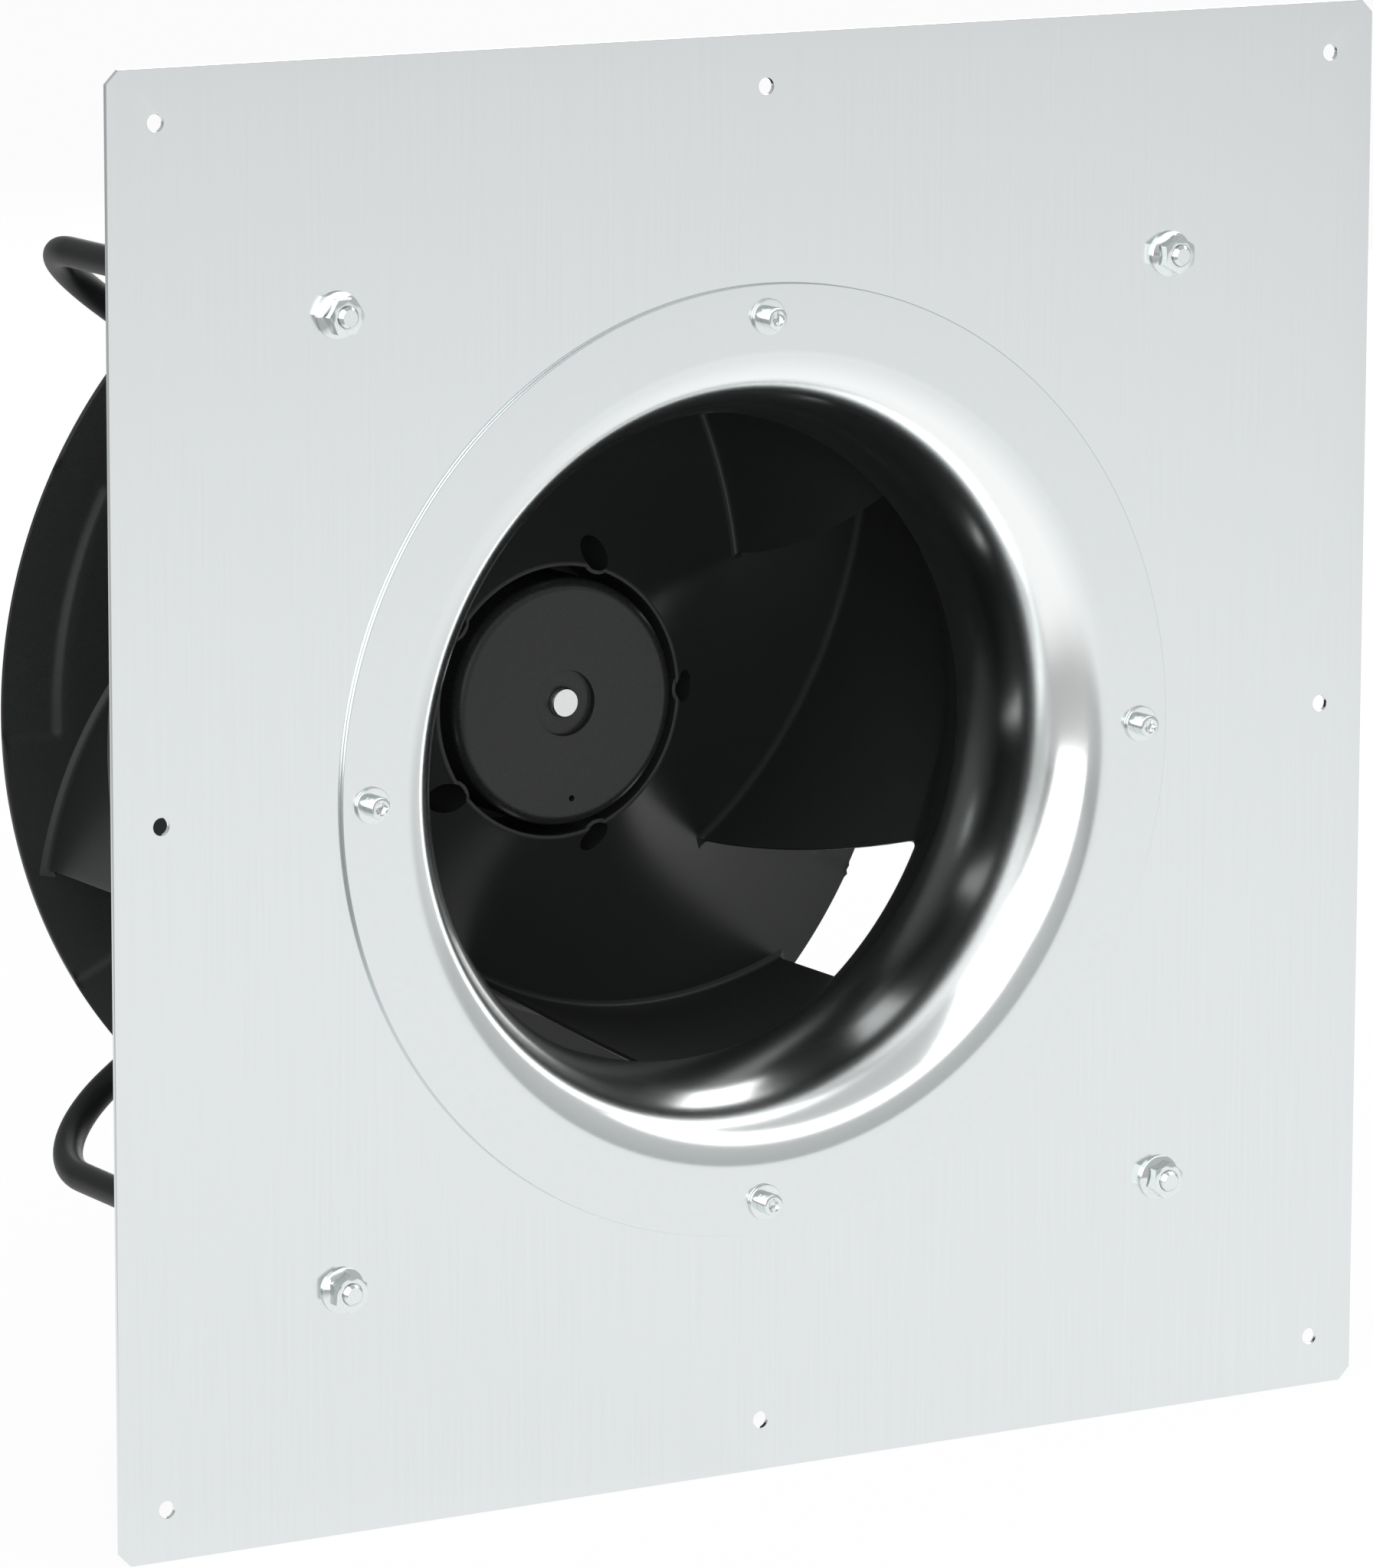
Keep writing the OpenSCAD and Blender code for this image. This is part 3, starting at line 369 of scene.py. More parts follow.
def bend(bm, edges, way, new_way, radius, steps):
    """Bends the open end of a bar from one direction to another."""
    verts = {v for e in edges for v in e.verts}
    middle = sum((v.co for v in verts), Vector()) / len(verts)
    axis = way.cross(new_way).normalized()
    centre = middle + axis.cross(way) * radius * MM
    made = bmesh.ops.spin(bm, geom=list(verts) + edges, cent=centre, axis=axis, angle=way.angle(new_way),
                          steps=steps)["geom_last"]
    return end_edges(made)


bar_r = 6
stud_r = 4
stud_chamfer = 1
stud_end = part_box("frame_bar_left")[0].y / MM
legs_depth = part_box("motor_plate")[1].y / MM + bar_r
shoulder = 0.6
post_bend_r = 45
run_bend_r = 30
run_at = 80
leg_fall = math.radians(36.3)
run_tangent = run_bend_r * math.tan((math.radians(90) - leg_fall) / 2)
leg_length = (post_at - run_at) / math.cos(leg_fall) - post_bend_r - run_tangent
run_half = post_at - (post_at - run_at) * math.tan(leg_fall) - run_tangent
backward = Vector((0, 1, 0))
inward = Vector((math.cos(leg_fall), 0, -math.sin(leg_fall)))
down = Vector((0, 0, -1))

# Powder coat: a deep satin black with slight orange peel, and soft, broad highlights along the bars.
black_powder = surface("satin_black_powder_coat", "#161718", "#1b1c1d", (0.36, 0.44), grain=0.9,
                       relief=0.012, level=0.15)

for name, side in (("left", 1), ("right", -1)):
    bm = bmesh.new()
    add_circle(bm, stud_r, -post_at, post_at, plate_t, segments=40)
    bar_end = bm.edges[:]
    bmesh.ops.contextual_create(bm, geom=bar_end)
    bar_end = draw_out(bm, bar_end, backward * 0, (bar_r - shoulder) / stud_r)
    bar_end = draw_out(bm, bar_end, backward * shoulder, bar_r / (bar_r - shoulder))
    bar_end = draw_out(bm, bar_end, backward * (legs_depth - post_bend_r - plate_t - shoulder))
    bar_end = bend(bm, bar_end, backward, inward, post_bend_r, 20)
    bar_end = draw_out(bm, bar_end, inward * leg_length)
    bar_end = bend(bm, bar_end, inward, down, run_bend_r, 12)
    draw_out(bm, bar_end, down * run_half)
    bmesh.ops.mirror(bm, geom=bm.verts[:] + bm.edges[:] + bm.faces[:], axis="Z", merge_dist=0.01 * MM)
    bmesh.ops.scale(bm, vec=(side, 1, 1), verts=bm.verts[:])
    bmesh.ops.recalc_face_normals(bm, faces=bm.faces[:])
    add_piece(f"bent_bar_{name}", bm, black_powder, "frame", "black_painted_bar", f"frame_bar_{name}")

    bm = turned([(0, stud_end), (stud_r - stud_chamfer, stud_end), (stud_r, stud_end + stud_chamfer),
                 (stud_r, plate_t), (0, plate_t)], steps=48, closed=False)
    repeat(bm, [Matrix.Translation(Vector((-side * post_at, 0, z * post_at)) * MM) for z in (-1, 1)])
    add_piece(f"threaded_ends_{name}", bm, bright_zinc, "frame", "zinc_plated_steel")

# Frame nuts: hexagon flange nuts on the threaded bar ends, drawn up against the front of the plate.
# Zinc-plated steel: the flange is a shallow cone, and the crown is chamfered round.
# Each nut came to rest at its own angle.

nut_flange_r = 8.95
nut_flange_foot = 0.3
nut_flange_edge = 0.35
nut_across = 13
nut_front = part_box("frame_nuts")[0].y / MM
nut_turns = {(1, 1): 30, (-1, 1): 0, (-1, -1): 30, (1, -1): 20}
cone_rise = 0.45
cone_foot = -1.5
crown_r = nut_across / 2 - 0.25
nut_face_r = crown_r - 0.1
nut_bore_r = stud_r + 0.05
nut_countersink = 0.45

bm = bmesh.new()
skin(bm, [
    add_loop(bm, 0, radius=nut_bore_r),
    add_loop(bm, 0, radius=nut_flange_r - nut_flange_foot),
    add_loop(bm, -nut_flange_foot, radius=nut_flange_r),
    add_loop(bm, cone_foot + nut_flange_edge, radius=nut_flange_r),
    add_loop(bm, cone_foot, radius=nut_flange_r - nut_flange_edge),
    add_loop(bm, cone_foot - cone_rise * (nut_flange_r - nut_across / 2), across=nut_across,
             crown_r=nut_across / 2, fall=cone_rise),
    add_loop(bm, nut_front, across=nut_across, crown_r=crown_r, fall=chamfer_slope),
    add_loop(bm, nut_front, radius=nut_face_r),
    add_loop(bm, nut_front, radius=nut_bore_r + nut_countersink),
    add_loop(bm, nut_front + nut_countersink, radius=nut_bore_r),
])
repeat(bm, [Matrix.Translation(Vector((x, 0, z)) * post_at * MM) @ Matrix.Rotation(-math.radians(turn), 4, "Y")
            for (x, z), turn in nut_turns.items()])
add_piece("frame_flange_nuts", bm, bright_zinc, "frame", "zinc_plated_steel", "frame_nuts")

# Motor plate and welds: a flat steel plate across the upright runs of the bars, which carries the motor.
# Laser cut, welded to the bars with short fillet beads and powder coated together with them.


def copy_of(node, edge):
    """The CAD node's own shape, with whole flat faces and rounded edges."""
    bm = bmesh.new()
    bm.from_mesh(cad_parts[node].data)
    bmesh.ops.remove_doubles(bm, verts=bm.verts[:], dist=0.001 * MM)
    bmesh.ops.dissolve_limit(bm, angle_limit=math.radians(0.5), verts=bm.verts[:], edges=bm.edges[:])
    soften(bm, edge)
    return bm


add_piece("motor_carrier_plate", copy_of("motor_plate", edge=0.4), black_powder, "frame", "black_painted_bar",
          "motor_plate")

bead_r = 2.4
bead_neck = 0.6
bead_ripple = 1.12
bead_step = 1.6
bead_length = 40
bead_start = 35
bead_out = 0.8 * bar_r
bead_depth = legs_depth - bar_r + 0.65 * bead_r

bm = bmesh.new()
add_circle(bm, bead_neck * bead_r, segments=16)
bead_end = bm.edges[:]
bmesh.ops.contextual_create(bm, geom=bead_end)
ripples = round(bead_length / bead_step)
ripple_half = backward * bead_step / 2
for i in range(ripples):
    bead_end = draw_out(bm, bead_end, ripple_half, 1 / bead_neck if i == 0 else bead_ripple)
    bead_end = draw_out(bm, bead_end, ripple_half, bead_neck if i == ripples - 1 else 1 / bead_ripple)
bmesh.ops.contextual_create(bm, geom=bead_end)
bmesh.ops.recalc_face_normals(bm, faces=bm.faces[:])
upright = Matrix.Rotation(math.radians(90), 4, "X")
repeat(bm, [Matrix.Translation(Vector((bar * run_at + bead * bead_out, bead_depth, low)) * MM) @ upright
            for bar in (-1, 1) for bead in (-1, 1) for low in (bead_start, -bead_start - bead_length)])
add_piece("fillet_weld_beads", bm, black_powder, "frame", "black_painted_bar", "frame_welds")

# Motor fasteners: hexagon screws through the stator flange and the motor plate, with nuts at the back.
# Zinc-plated steel.

add_piece("motor_hexagon_screws", copy_of("motor_screws", edge=0.35), bright_zinc, "frame", "zinc_plated_steel",
          "motor_screws")
add_piece("motor_hexagon_nuts", copy_of("motor_nuts", edge=0.35), bright_zinc, "frame", "zinc_plated_steel",
          "motor_nuts")

# Stator flange: the foot of the motor, with the tube that holds both bearings.
# Die-cast aluminium, shot blasted, so it is matt with a fine sandy grain.

# Shot-blasted casting: a matt, light grey metal. The sandy grain is drawn coarser than it is, so that it shows.
cast_aluminium = surface("die_cast_aluminium", "#a9acad", "#c0c3c4", (0.42, 0.55), grain=0.8, relief=0.03,
                         metallic=1)

add_piece("stator_foot", copy_of("stator_flange", edge=0.6), cast_aluminium, "frame", "cast_aluminium",
          "stator_flange")

# Stator core and windings: a pack of silicon steel sheets with one coil of enamelled copper wire on each tooth.
# They are sealed inside the rotor, so the solids stay, with the sheets and the wires drawn as stripes.


def dress(material, *nodes):
    """Gives CAD nodes that stay a finished material."""
    for name in nodes:
        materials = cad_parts[name].data.materials
        materials.clear()
        materials.append(material)


# Stacked sheets: a dark grey metal with stripes across the axis, each two or three sheets wide.
lamination_steel = surface("silicon_steel_laminations", "#4a4d50", "#7d8184", (0.35, 0.5), grain=1,
                           relief=0.03, metallic=1, stretch=(0.01, 1, 0.01))
# Enamelled wire: a warm, glossy red metal with stripes about as wide as one wire.
copper_wire = surface("enamelled_copper_wire", "#8a3c17", "#c8703a", (0.22, 0.35), grain=0.9, relief=0.08,
                      metallic=1, stretch=(1, 0.05, 1))
dress(lamination_steel, "stator_core")
dress(copper_wire, "stator_windings")

# Bearings: two deep-groove ball bearings with ground rings, a wave washer that loads them, and circlips.
# Through-hardened chrome steel is bright and slightly warm; the circlips are phosphated spring steel.

# Ground steel: a bright, smooth metal with clear reflections.
bearing_steel = surface("ground_bearing_steel", "#c2c3c3", "#d3d3d2", (0.12, 0.18), grain=0.5, relief=0.001,
                        metallic=1)
# Phosphate coat: a dull, dark grey metal.
spring_steel = surface("phosphated_spring_steel", "#3c3d3e", "#54565a", (0.4, 0.5), grain=0.5, relief=0.004,
                       metallic=1)
for bearing in ("front_bearing", "rear_bearing"):
    dress(bearing_steel, f"{bearing}_outer", f"{bearing}_balls", f"{bearing}_inner")
dress(spring_steel, "bearing_circlip", "shaft_circlip", "preload_washer")

# Motor shaft: a ground steel bar pressed into the boss of the rotor, with its end flush with the rotor's face.
# Its turned end face mirrors the light of the inlet.

shaft_r = 6
shaft_chamfer = 0.5
rotor_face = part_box("motor_shaft")[0].y / MM
shaft_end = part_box("motor_shaft")[1].y / MM
step_front, step_back, step_r = rotor_face + 14, rotor_face + 19, 7.5

# Turned end face: a bright metal, blurred enough to spread the mirrored light evenly over the small disc.
shaft_steel = surface("ground_shaft_steel", "#dfe1e1", "#eaecec", (0.2, 0.28), grain=0.7, relief=0.001,
                      metallic=1)

bm = turned([(0, rotor_face), (shaft_r - shaft_chamfer, rotor_face), (shaft_r, rotor_face + shaft_chamfer),
             (shaft_r, step_front), (step_r, step_front), (step_r, step_back), (shaft_r, step_back),
             (shaft_r, shaft_end - shaft_chamfer), (shaft_r - shaft_chamfer, shaft_end), (0, shaft_end)],
            steps=64, closed=False)
add_piece("ground_shaft", bm, shaft_steel, "rotor", "shaft_steel", "motor_shaft")

# Rotor cup: the outside of the motor, which turns around the stator and carries the impeller on its flange.
# Deep-drawn steel with a dark satin paint, a recess round the shaft end and one small balance hole in its face.


def combine(bm, other, operation):
    """Joins a shape with another one or cuts the other one out, and keeps only the result."""
    shapes = []
    for shape in (bm, other):
        mesh = bpy.data.meshes.new("shape")
        shape.to_mesh(mesh)
        shape.free()
        shapes.append(bpy.data.objects.new("shape", mesh))
        bpy.context.scene.collection.objects.link(shapes[-1])
    change = shapes[0].modifiers.new("change", "BOOLEAN")
    change.object = shapes[1]
    change.operation = operation
    change.solver = "EXACT"
    result = bmesh.new()
    result.from_object(shapes[0], bpy.context.evaluated_depsgraph_get())
    for shape in shapes:
        bpy.data.meshes.remove(shape.data)
    return result


def rods(radius, front, back, places):
    """Round rods from one depth to another, at each place."""
    bm = turned([(0, front), (radius, front), (radius, back), (0, back)], steps=48, closed=False)
    repeat(bm, places)
    return bm


rotor_r = 50
rotor_wall = 3
rotor_edge_r = 5
drawn_edge = 0.4
recess_r = 13.2
boss_r = recess_r + 4
rotor_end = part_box("rotor_cup")[1].y / MM
rotor_flange_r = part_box("rotor_cup")[1].x / MM
rotor_flange_front, rotor_flange_back = rotor_face + 49, rotor_face + 55
face_back = rotor_face + rotor_wall
dot_r, dot_at, dot_angle = 1.25, 39, 274
cut_over = 1

# Satin paint: nearly black, with a faint sheen that lifts the flat face from the plastic around it.
rotor_paint = surface("dark_satin_rotor_paint", "#191a1a", "#1f2020", (0.26, 0.34), grain=0.8, relief=0.006,
                      level=0.38)

outline = [(recess_r, rotor_face)]
outline += arc(rotor_r - rotor_edge_r, rotor_face + rotor_edge_r, rotor_edge_r, -90, 0, 10)
outline += [(rotor_r, rotor_flange_front), (rotor_flange_r, rotor_flange_front),
            (rotor_flange_r, rotor_flange_back), (rotor_r, rotor_flange_back),
            (rotor_r, rotor_end), (rotor_r - rotor_wall, rotor_end),
            (rotor_r - rotor_wall, face_back), (boss_r, face_back), (boss_r, step_front), (shaft_r, step_front),
            (shaft_r, face_back), (recess_r, face_back)]
bm = turned(outline, steps=160)
soften(bm, drawn_edge)
drill = rods(dot_r, rotor_face - cut_over, face_back + cut_over, around(1, dot_at, dot_angle))
bm = combine(bm, drill, "DIFFERENCE")
add_piece("drawn_rotor_cup", bm, rotor_paint, "rotor", "black_painted_rotor", "rotor_cup")

# Sintered ferrite: dull charcoal grey with a gritty grain.
ferrite = surface("sintered_ferrite", "#35373a", "#424548", (0.55, 0.7), grain=0.4, relief=0.01)
dress(ferrite, "rotor_magnets")

# Impeller back plate: the curved disc that turns the air outward, with a collar round the rotor.
# Injection-moulded glass-filled polyamide: black, satin, with a very fine grain and rounded mould edges.
# Its rim has six shallow pockets, and five wells beside the collar take the screws.

hub_centre_r, hub_centre_y, hub_curve_r = 251.8, -46.4, 281.7
hub_t = 2.5
moulded_edge = 0.6
rim_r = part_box("impeller_back_plate")[1].x / MM
hub_collar_r = 56
hub_collar_wall = 1.7
hub_bore_r = hub_collar_r - hub_collar_wall
hub_floor_t = 4
hub_floor_back = rotor_flange_front
hub_floor_front = hub_floor_back - hub_floor_t
hub_floor_r = rotor_flange_r
well_r, well_at, well_wall, well_drop = 6.5, 60.6, 1.5, 0.5
well_cut = 5
tubes_sink, tubes_overlap = 1, 0.5
screw_count = 5
pocket_count, pocket_start, pocket_arc = 6, 151, 32
pocket_inner_r, pocket_depth, pocket_wall = 189.3, 1.2, 4


def hub_depth(r, back=0):
    """Depth of the back plate's front surface at a radius, or of a surface so far behind it."""
    return hub_centre_y + math.sqrt((hub_curve_r + back) ** 2 - (hub_centre_r - r) ** 2)


def ease(x):
    """A smooth step from 0 to 1."""
    x = min(1, max(0, x))
    return x * x * (3 - 2 * x)


def radii(first, last, steps):
    """Evenly spaced radii, both ends included."""
    return [first + (last - first) * i / steps for i in range(steps + 1)]


# Moulded glass-filled plastic: black with a low satin sheen. The glass grain is drawn coarser than it is.
black_polyamide = surface("glass_filled_black_polyamide", "#1d1e1e", "#232424", (0.32, 0.4), grain=0.8,
                          relief=0.01, level=0.3)

collar_front = hub_depth(hub_collar_r)
pocket_foot = pocket_inner_r - pocket_wall
front_radii = radii(hub_collar_r, pocket_foot, 32) + radii(pocket_foot, rim_r, 16)[1:]
outline = [(r, hub_depth(r)) for r in front_radii]
outline += [(r, hub_depth(r, hub_t)) for r in reversed(radii(hub_collar_r, rim_r, 16))]
outline += [(hub_collar_r, hub_floor_front), (hub_floor_r, hub_floor_front), (hub_floor_r, hub_floor_back),
            (hub_bore_r, hub_floor_back), (hub_bore_r, collar_front)]
bm = turned(outline, steps=720)
for v in bm.verts:
    x, y, z = v.co / MM
    r = math.hypot(x, z)
    if r > pocket_foot and abs(y - hub_depth(r)) < hub_t / 4:
        turn = (math.degrees(math.atan2(z, x)) - pocket_start) % (360 / pocket_count)
        into = math.radians(min(turn, pocket_arc - turn)) * r
        v.co.y += pocket_depth * MM * ease(into / pocket_wall) * ease((r - pocket_foot) / pocket_wall)
soften(bm, moulded_edge, segments=3)
wells = around(screw_count, well_at)
tubes_front, tubes_back = collar_front + well_drop, hub_floor_front + tubes_sink
tubes_inner_r = hub_collar_r - tubes_overlap
outline = [(r, hub_depth(r, hub_t / 2)) for r in radii(tubes_inner_r, hub_floor_r, 8)]
outline += [(hub_floor_r, tubes_back), (rotor_r, tubes_back), (rotor_r, tubes_front),
            (tubes_inner_r, tubes_front)]
tubes = rods(well_r + well_wall, collar_front, tubes_back + cut_over, wells)
tubes = combine(tubes, turned(outline), "INTERSECT")
bm = combine(bm, tubes, "UNION")
bm = combine(bm, rods(well_r, collar_front - well_cut, hub_floor_front, wells), "DIFFERENCE")
add_piece("impeller_hub_disc", bm, black_polyamide, "rotor", "black_polyamide", "impeller_back_plate")

# Blades: six backward-curved blades between the back plate and the shroud.
# Moulded in the same black polyamide and welded at both ends, where a small fillet runs along each foot.

blade_count = 6
blade_curve_r = 202
blade_edge_t, blade_mid_t = 1.6, 4.5
blade_inset = 9.5
trail = cmath.rect(rim_r - blade_inset, math.radians(18.2))
lead_hub = cmath.rect(118.6, math.radians(-37.6))
lead_shroud = cmath.rect(143.5, math.radians(-24))
lead_bow = 0.67
chord = abs(trail - lead_hub)
foot_r = 3.5
foot_sink = 0.4
blade_edge_r = 0.5
chord_steps, middle_steps, foot_steps = 48, 12, 5
rows = middle_steps + 2 * foot_steps
net_half = 0.5
lip_gap = 2.4
shroud_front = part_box("impeller_shroud")[0].y / MM
shroud_lip_r, shroud_curve_r, shroud_t = throat_r + ring_t + lip_gap, 93.6, 2.5
shroud_centre_r = shroud_lip_r + shroud_curve_r


def shroud_depth(r, front=0):
    """Depth of the shroud's inner surface at a radius, or of a surface so far in front of it."""
    return shroud_front + math.sqrt((shroud_curve_r - front) ** 2 - (shroud_centre_r - r) ** 2)


def on_arc(start, end, share, out):
    """A point on the blade's arc as seen along the axis, and so far out from it."""
    along = (end - start) / abs(end - start)
    outward = along * -1j
    half = math.asin(abs(end - start) / 2 / blade_curve_r)
    turn = half * (2 * share - 1)
    centre = (start + end) / 2 - outward * blade_curve_r * math.cos(half)
    return centre + (blade_curve_r + out) * (outward * math.cos(turn) + along * math.sin(turn))


def blade_point(share, row, outer):
    """A point of the blade's net: along the chord, in a row up from the back plate, on either side."""
    from_foot = min(row, rows - row)
    lean = math.radians(90) * max(0, 1 - from_foot / foot_steps)
    flare = foot_r * (1 - math.cos(lean))
    thickness = blade_edge_t + (blade_mid_t - blade_edge_t) * math.sin(math.pi * share)
    out = thickness + flare if outer else -flare
    share = 0.5 + (share - 0.5) * (1 + 2 * flare / chord)
    root = on_arc(lead_hub, trail, share, out)
    tip = on_arc(lead_shroud, trail, share, out)
    root_depth = hub_depth(abs(root))
    height = root_depth - shroud_depth(abs(tip))
    rise = foot_r + (height - 2 * foot_r) * (row - foot_steps) / middle_steps
    if from_foot < foot_steps:
        rise = foot_r * (1 - math.sin(lean)) if from_foot else -foot_sink
        rise = rise if row < foot_steps else height - rise
    span = min(1, max(0, rise / height)) ** (1 / lead_bow)
    radius = abs(root) + (abs(tip) - abs(root)) * span
    turn = cmath.phase(root) + (cmath.phase(tip) - cmath.phase(root)) * span
    return Vector((radius * math.cos(turn), root_depth - rise, radius * math.sin(turn))) * MM


bm = bmesh.new()
bmesh.ops.create_grid(bm, x_segments=chord_steps, y_segments=rows, size=net_half)
inner = set(bm.verts)
bmesh.ops.extrude_face_region(bm, geom=bm.faces[:])
tips = {v for v in bm.verts if abs(v.co.x) > 0.998 * net_half}
edges = [e for e in bm.edges
         if tips.issuperset(e.verts) and (e.verts[0] in inner) == (e.verts[1] in inner)]
for v in bm.verts:
    v.co = blade_point(v.co.x + net_half, round((v.co.y + net_half) * rows), v not in inner)
bmesh.ops.recalc_face_normals(bm, faces=bm.faces[:])
bmesh.ops.bevel(bm, geom=edges, offset=blade_edge_r * MM, segments=2, profile=0.5, affect="EDGES",
                material=-1)
repeat(bm, around(blade_count, 0))
add_piece("curved_blades", bm, black_polyamide, "rotor", "black_polyamide", "impeller_blades")

# Shroud: the front disc of the impeller, whose lip runs round the end of the inlet nozzle with a small gap.
# Moulded in the same black polyamide.

shroud_face_r = shroud_lip_r + shroud_t

outline = [(r, shroud_depth(r)) for r in radii(shroud_lip_r, rim_r, 60)]
outline += [(r, shroud_depth(r, shroud_t)) for r in reversed(radii(shroud_face_r, rim_r, 60))]
bm = turned(outline, steps=240)
soften(bm, moulded_edge, angle=50)
add_piece("impeller_front_disc", bm, black_polyamide, "rotor", "black_polyamide", "impeller_shroud")

# Impeller screws: five cap screws down in the wells, which pull the back plate onto the rotor's flange.
# Blackened steel, so they look like dark domes at the foot of each well.

hub_head_r, hub_head_h, hub_thread_r = 4.25, 5, 2.5
hub_head_crown = [(0.8, 0.35), (0.25, 1), (0, 1.8)]
hub_socket_chamfer, hub_socket_mouth_r = 0.3, socket_across / 2 + 0.5
hub_head_front = hub_floor_front - hub_head_h

# Black oxide: a dark metal with a dull glint on the rounded heads.
black_oxide = surface("blackened_steel", "#1b1c1d", "#242526", (0.35, 0.45), grain=0.5, relief=0.004,
                      metallic=1)

bm = bmesh.new()
skin(bm, [
    add_loop(bm, hub_head_front + socket_depth + socket_tip, radius=socket_tip_r),
    add_loop(bm, hub_head_front + socket_depth, across=socket_across),
    add_loop(bm, hub_head_front + hub_socket_chamfer, across=socket_across),
    add_loop(bm, hub_head_front, radius=hub_socket_mouth_r),
    *(add_loop(bm, hub_head_front + drop, radius=hub_head_r - inset) for inset, drop in hub_head_crown),
    add_loop(bm, hub_floor_front, radius=hub_head_r),
    add_loop(bm, hub_floor_front, radius=hub_thread_r),
    add_loop(bm, rotor_flange_back, radius=hub_thread_r),
], closed=False)
repeat(bm, wells)
add_piece("impeller_cap_screws", bm, black_oxide, "rotor", "zinc_plated_steel", "impeller_screws")

# Electronics housing: a finned can behind the motor plate that keeps the commutation electronics cool.
# Die-cast aluminium like the stator flange, with a boss for the cable gland underneath.

add_piece("finned_housing", copy_of("electronics_housing", edge=0.5), cast_aluminium, "frame", "cast_aluminium",
          "electronics_housing")

# Circuit board: a round board on three hexagon spacers, with capacitors, a choke and a terminal block.
# It is sealed inside the housing, so the solids stay and only get their finishes.

# Lacquered glass epoxy: deep green with a slight gloss.
board_laminate = surface("glass_epoxy_board", "#0d3a22", "#14502f", (0.3, 0.4), grain=1.2, relief=0.01)
# Turned brass: a warm yellow metal.
spacer_brass = surface("turned_brass", "#b08d45", "#c7a65c", (0.2, 0.3), grain=0.6, relief=0.002, metallic=1)
# Shrunk film: dark blue, smooth and shiny.
capacitor_sleeve = surface("shrunk_sleeve", "#14182b", "#1d2238", (0.25, 0.35), grain=2, relief=0.01)
# Moulded polyamide: a satin mid green.
terminal_plastic = surface("moulded_terminal_plastic", "#1f6b42", "#277a4d", (0.4, 0.5), grain=0.8, relief=0.01)
dress(board_laminate, "circuit_board")
dress(spacer_brass, "board_spacers")
dress(bright_zinc, "board_screws")
dress(capacitor_sleeve, "capacitors")
dress(copper_wire, "choke_coil")
dress(terminal_plastic, "terminal_block")

# Cover: the lid of the electronics housing, on a rubber gasket, with cap screws that reach down into the flange.
# Die-cast aluminium lid, black nitrile rubber and zinc-plated screws.

# Nitrile rubber: black and matt, so that its edge is a thin dark line.
nitrile_rubber = surface("black_nitrile_rubber", "#101011", "#18191a", (0.65, 0.8), grain=0.6, relief=0.01)

add_piece("housing_gasket", copy_of("cover_gasket", edge=0.15), nitrile_rubber, "frame", "black_rubber",
          "cover_gasket")
add_piece("housing_lid", copy_of("electronics_cover", edge=0.8), cast_aluminium, "frame", "cast_aluminium",
          "electronics_cover")
add_piece("lid_cap_screws", copy_of("cover_screws", edge=0.3), bright_zinc, "frame", "zinc_plated_steel",
          "cover_screws")

# Cable gland: a body screwed into the boss with a locknut inside, a rubber seal and a cap that squeezes it.
# Moulded black polyamide, a little glossier than the impeller.

# Moulded polyamide: black with a clear, soft sheen on the flats.
gland_plastic = surface("black_gland_polyamide", "#151617", "#1d1e1f", (0.32, 0.4), grain=0.7, relief=0.008)

add_piece("gland_hexagon_body", copy_of("gland_body", edge=0.35), gland_plastic, "frame", "black_gland_plastic",
          "gland_body")
add_piece("gland_squeeze_cap", copy_of("gland_cap", edge=0.5), gland_plastic, "frame", "black_gland_plastic",
          "gland_cap")
add_piece("gland_rubber_seal", copy_of("gland_seal", edge=0.2), nitrile_rubber, "frame", "black_rubber",
          "gland_seal")
dress(gland_plastic, "gland_locknut")

# Floor: a wide, plain white surface under the lower edge of the plate.
# A small share of it is lit, which keeps the object's shadow.
# In the metal it carries painted shade: its white fades far in front and to both sides, standing in for the
# fall-off of light on a floor under softboxes.

floor_half = 30
floor_drop = 0.5
floor_glow = 0.94
# Each painted shade: its direction, where it starts and ends in metres, and the share of white that is left.
painted_floor_shades = {(0.94, 0.34, 0): (-0.31, -0.56, 0.45), (0.81, 0.58, 0): (0.22, 0.7, 0.7), (0, 1, 0): (-1, -10, 0.78)}

# White floor paint: the eye sees plain white with a soft shadow, and the metal sees the white fade away in
# painted shade.
floor_paint = bpy.data.materials.new("white_floor_paint")
floor_paint.use_nodes = True
floor_paint.node_tree.nodes.clear()
path = add_node(floor_paint, "ShaderNodeLightPath").outputs
place = add_node(floor_paint, "ShaderNodeTexCoord").outputs["Object"]
seen, level = path["Is Camera Ray"], 1
for ray in ("Is Glossy Ray", "Is Transmission Ray"):
    seen = add_node(floor_paint, "ShaderNodeMath", {0: seen, 1: path[ray]}, operation="MAXIMUM").outputs[0]
share = add_node(floor_paint, "ShaderNodeMath", {0: seen, 1: floor_glow}, operation="MULTIPLY").outputs[0]
# Painted shade: each fade dims the floor's white as glossy rays see it.
for way, (start, end, rest) in painted_floor_shades.items():
    along = add_node(floor_paint, "ShaderNodeVectorMath", {0: place, 1: way}, operation="DOT_PRODUCT")
    painted_shade = add_node(floor_paint, "ShaderNodeMapRange",
                    {"Value": along.outputs["Value"], "From Min": start, "From Max": end,
                     "To Min": 1, "To Max": rest})
    level = add_node(floor_paint, "ShaderNodeMath", {0: level, 1: painted_shade.outputs["Result"]},
                     operation="MULTIPLY").outputs[0]
level = add_node(floor_paint, "ShaderNodeMath", {0: path["Is Camera Ray"], 1: level},
                 operation="MAXIMUM").outputs[0]
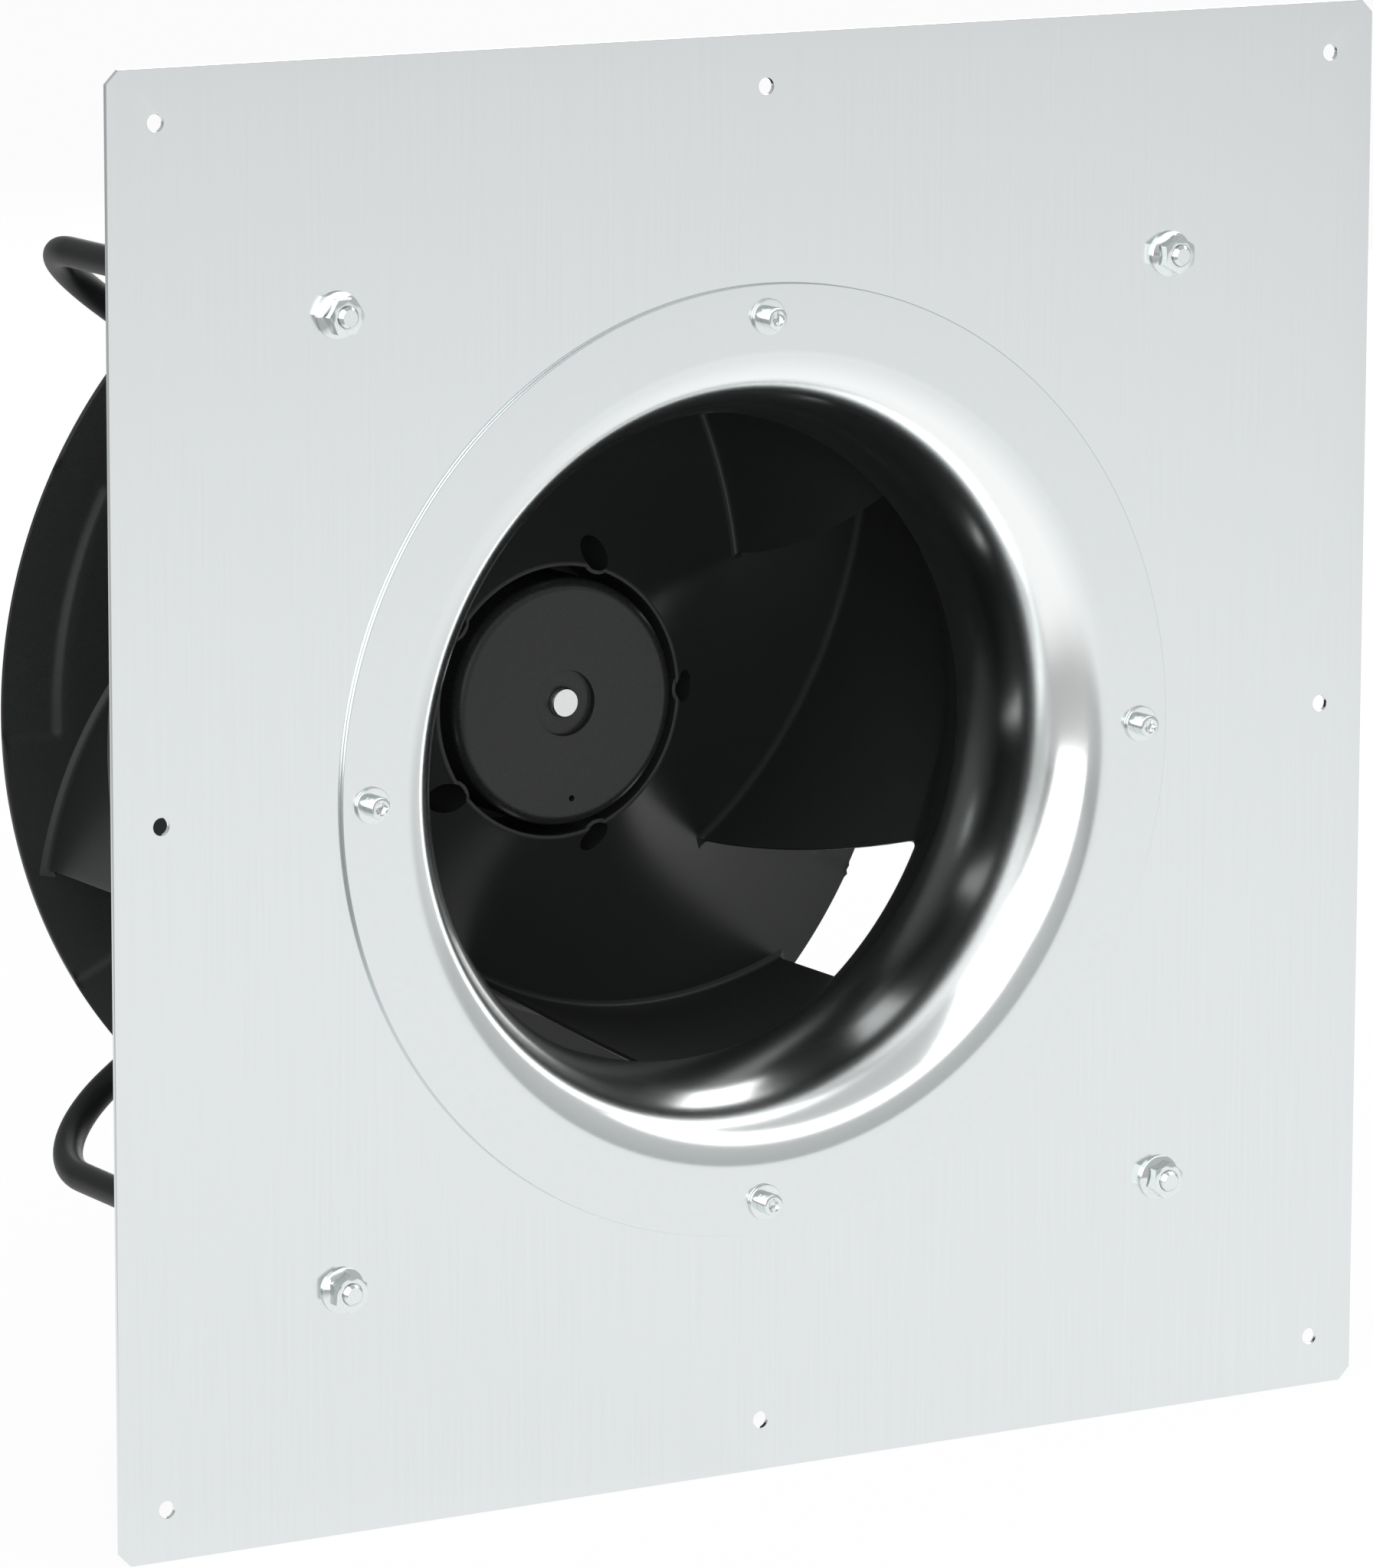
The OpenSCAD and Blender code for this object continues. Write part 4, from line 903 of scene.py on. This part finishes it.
lit = add_node(floor_paint, "ShaderNodeBsdfDiffuse", {"Color": linear("#f0f0f0")})
glow = add_node(floor_paint, "ShaderNodeEmission", {"Color": linear("#ffffff"), "Strength": level})
mix = add_node(floor_paint, "ShaderNodeMixShader", {0: share, 1: lit.outputs[0], 2: glow.outputs[0]})
add_node(floor_paint, "ShaderNodeOutputMaterial", {"Surface": mix.outputs[0]})

bm = bmesh.new()
bmesh.ops.create_grid(bm, x_segments=1, y_segments=1, size=floor_half,
                      matrix=Matrix.Translation((0, 0, (plate_low.z - floor_drop) * MM)))
mesh = bpy.data.meshes.new("studio_floor")
bm.to_mesh(mesh)
bm.free()
mesh.materials.append(floor_paint)
floor = bpy.data.objects.new("studio_floor", mesh)
bpy.context.scene.collection.objects.link(floor)

# Studio light: a pale dome that is darker on the left, and four softboxes.
# The ring mirrors a tall one on the left and a long one overhead. One at the back shines in between the blades.
# One in front fills the inlet and leaves no image in the metal.

dome_dark, dome_pale = 0.2, 0.55
dark_until, pale_from = -0.9, -0.4

dome = bpy.data.worlds.new("pale_dome")
bpy.context.scene.world = dome
dome.use_nodes = True
dome.node_tree.nodes.clear()
way = add_node(dome, "ShaderNodeTexCoord").outputs["Generated"]
sides = add_node(dome, "ShaderNodeSeparateXYZ", {0: way}).outputs
paleness = add_node(dome, "ShaderNodeMapRange",
                    {"Value": sides["X"], "From Min": dark_until, "From Max": pale_from,
                     "To Min": dome_dark, "To Max": dome_pale}).outputs["Result"]
sky = add_node(dome, "ShaderNodeBackground", {"Color": linear("#fbfdfd"), "Strength": paleness})
add_node(dome, "ShaderNodeOutputWorld", {"Surface": sky.outputs[0]})


def add_softbox(name, place, width, height, glow, mirrored=True):
    """An area light that faces the fan, as bright as its glow when looked at."""
    light = bpy.data.lights.new(name, "AREA")
    light.shape = "RECTANGLE"
    light.size = width
    light.size_y = height
    light.energy = glow * math.pi * width * height
    lamp = bpy.data.objects.new(name, light)
    lamp.location = place
    lamp.rotation_mode = "QUATERNION"
    lamp.rotation_quaternion = (-lamp.location).to_track_quat("-Z", "Y")
    lamp.visible_camera = False
    lamp.visible_glossy = mirrored
    bpy.context.scene.collection.objects.link(lamp)


add_softbox("left_softbox", Vector((-1.82, -1.38, 1.24)), width=2.6, height=3.45, glow=1.8)
add_softbox("overhead_softbox", Vector((1, -1.62, 2.32)), width=6, height=1.1, glow=0.95)
add_softbox("inlet_fill", Vector((-1.15, -2.75, 0.4)), width=0.8, height=0.8, glow=22, mirrored=False)
add_softbox("back_softbox", Vector((2.4, 1.8, 1.4)), width=4, height=4, glow=1.5)

# Camera: the photograph's viewpoint, with a long lens from the front left and a little above.
# Its place, its turn and its lens follow from how the square plate and the round ring look from there.

camera = bpy.data.objects.new("camera", bpy.data.cameras.new("camera"))
right = Vector((0.85778, -0.51402, 0.00267))
up = Vector((0.09239, 0.15929, 0.98290))
camera.location = Vector((-1.6984, -2.7737, 0.6008))
camera.rotation_mode = "QUATERNION"
camera.rotation_quaternion = Matrix((right, up, right.cross(up))).transposed().to_quaternion()
camera.data.lens = 197.95
camera.data.sensor_width = 36
camera.data.clip_end = 100
bpy.context.scene.collection.objects.link(camera)
bpy.context.scene.camera = camera
bpy.context.scene.view_settings.view_transform = "Standard"
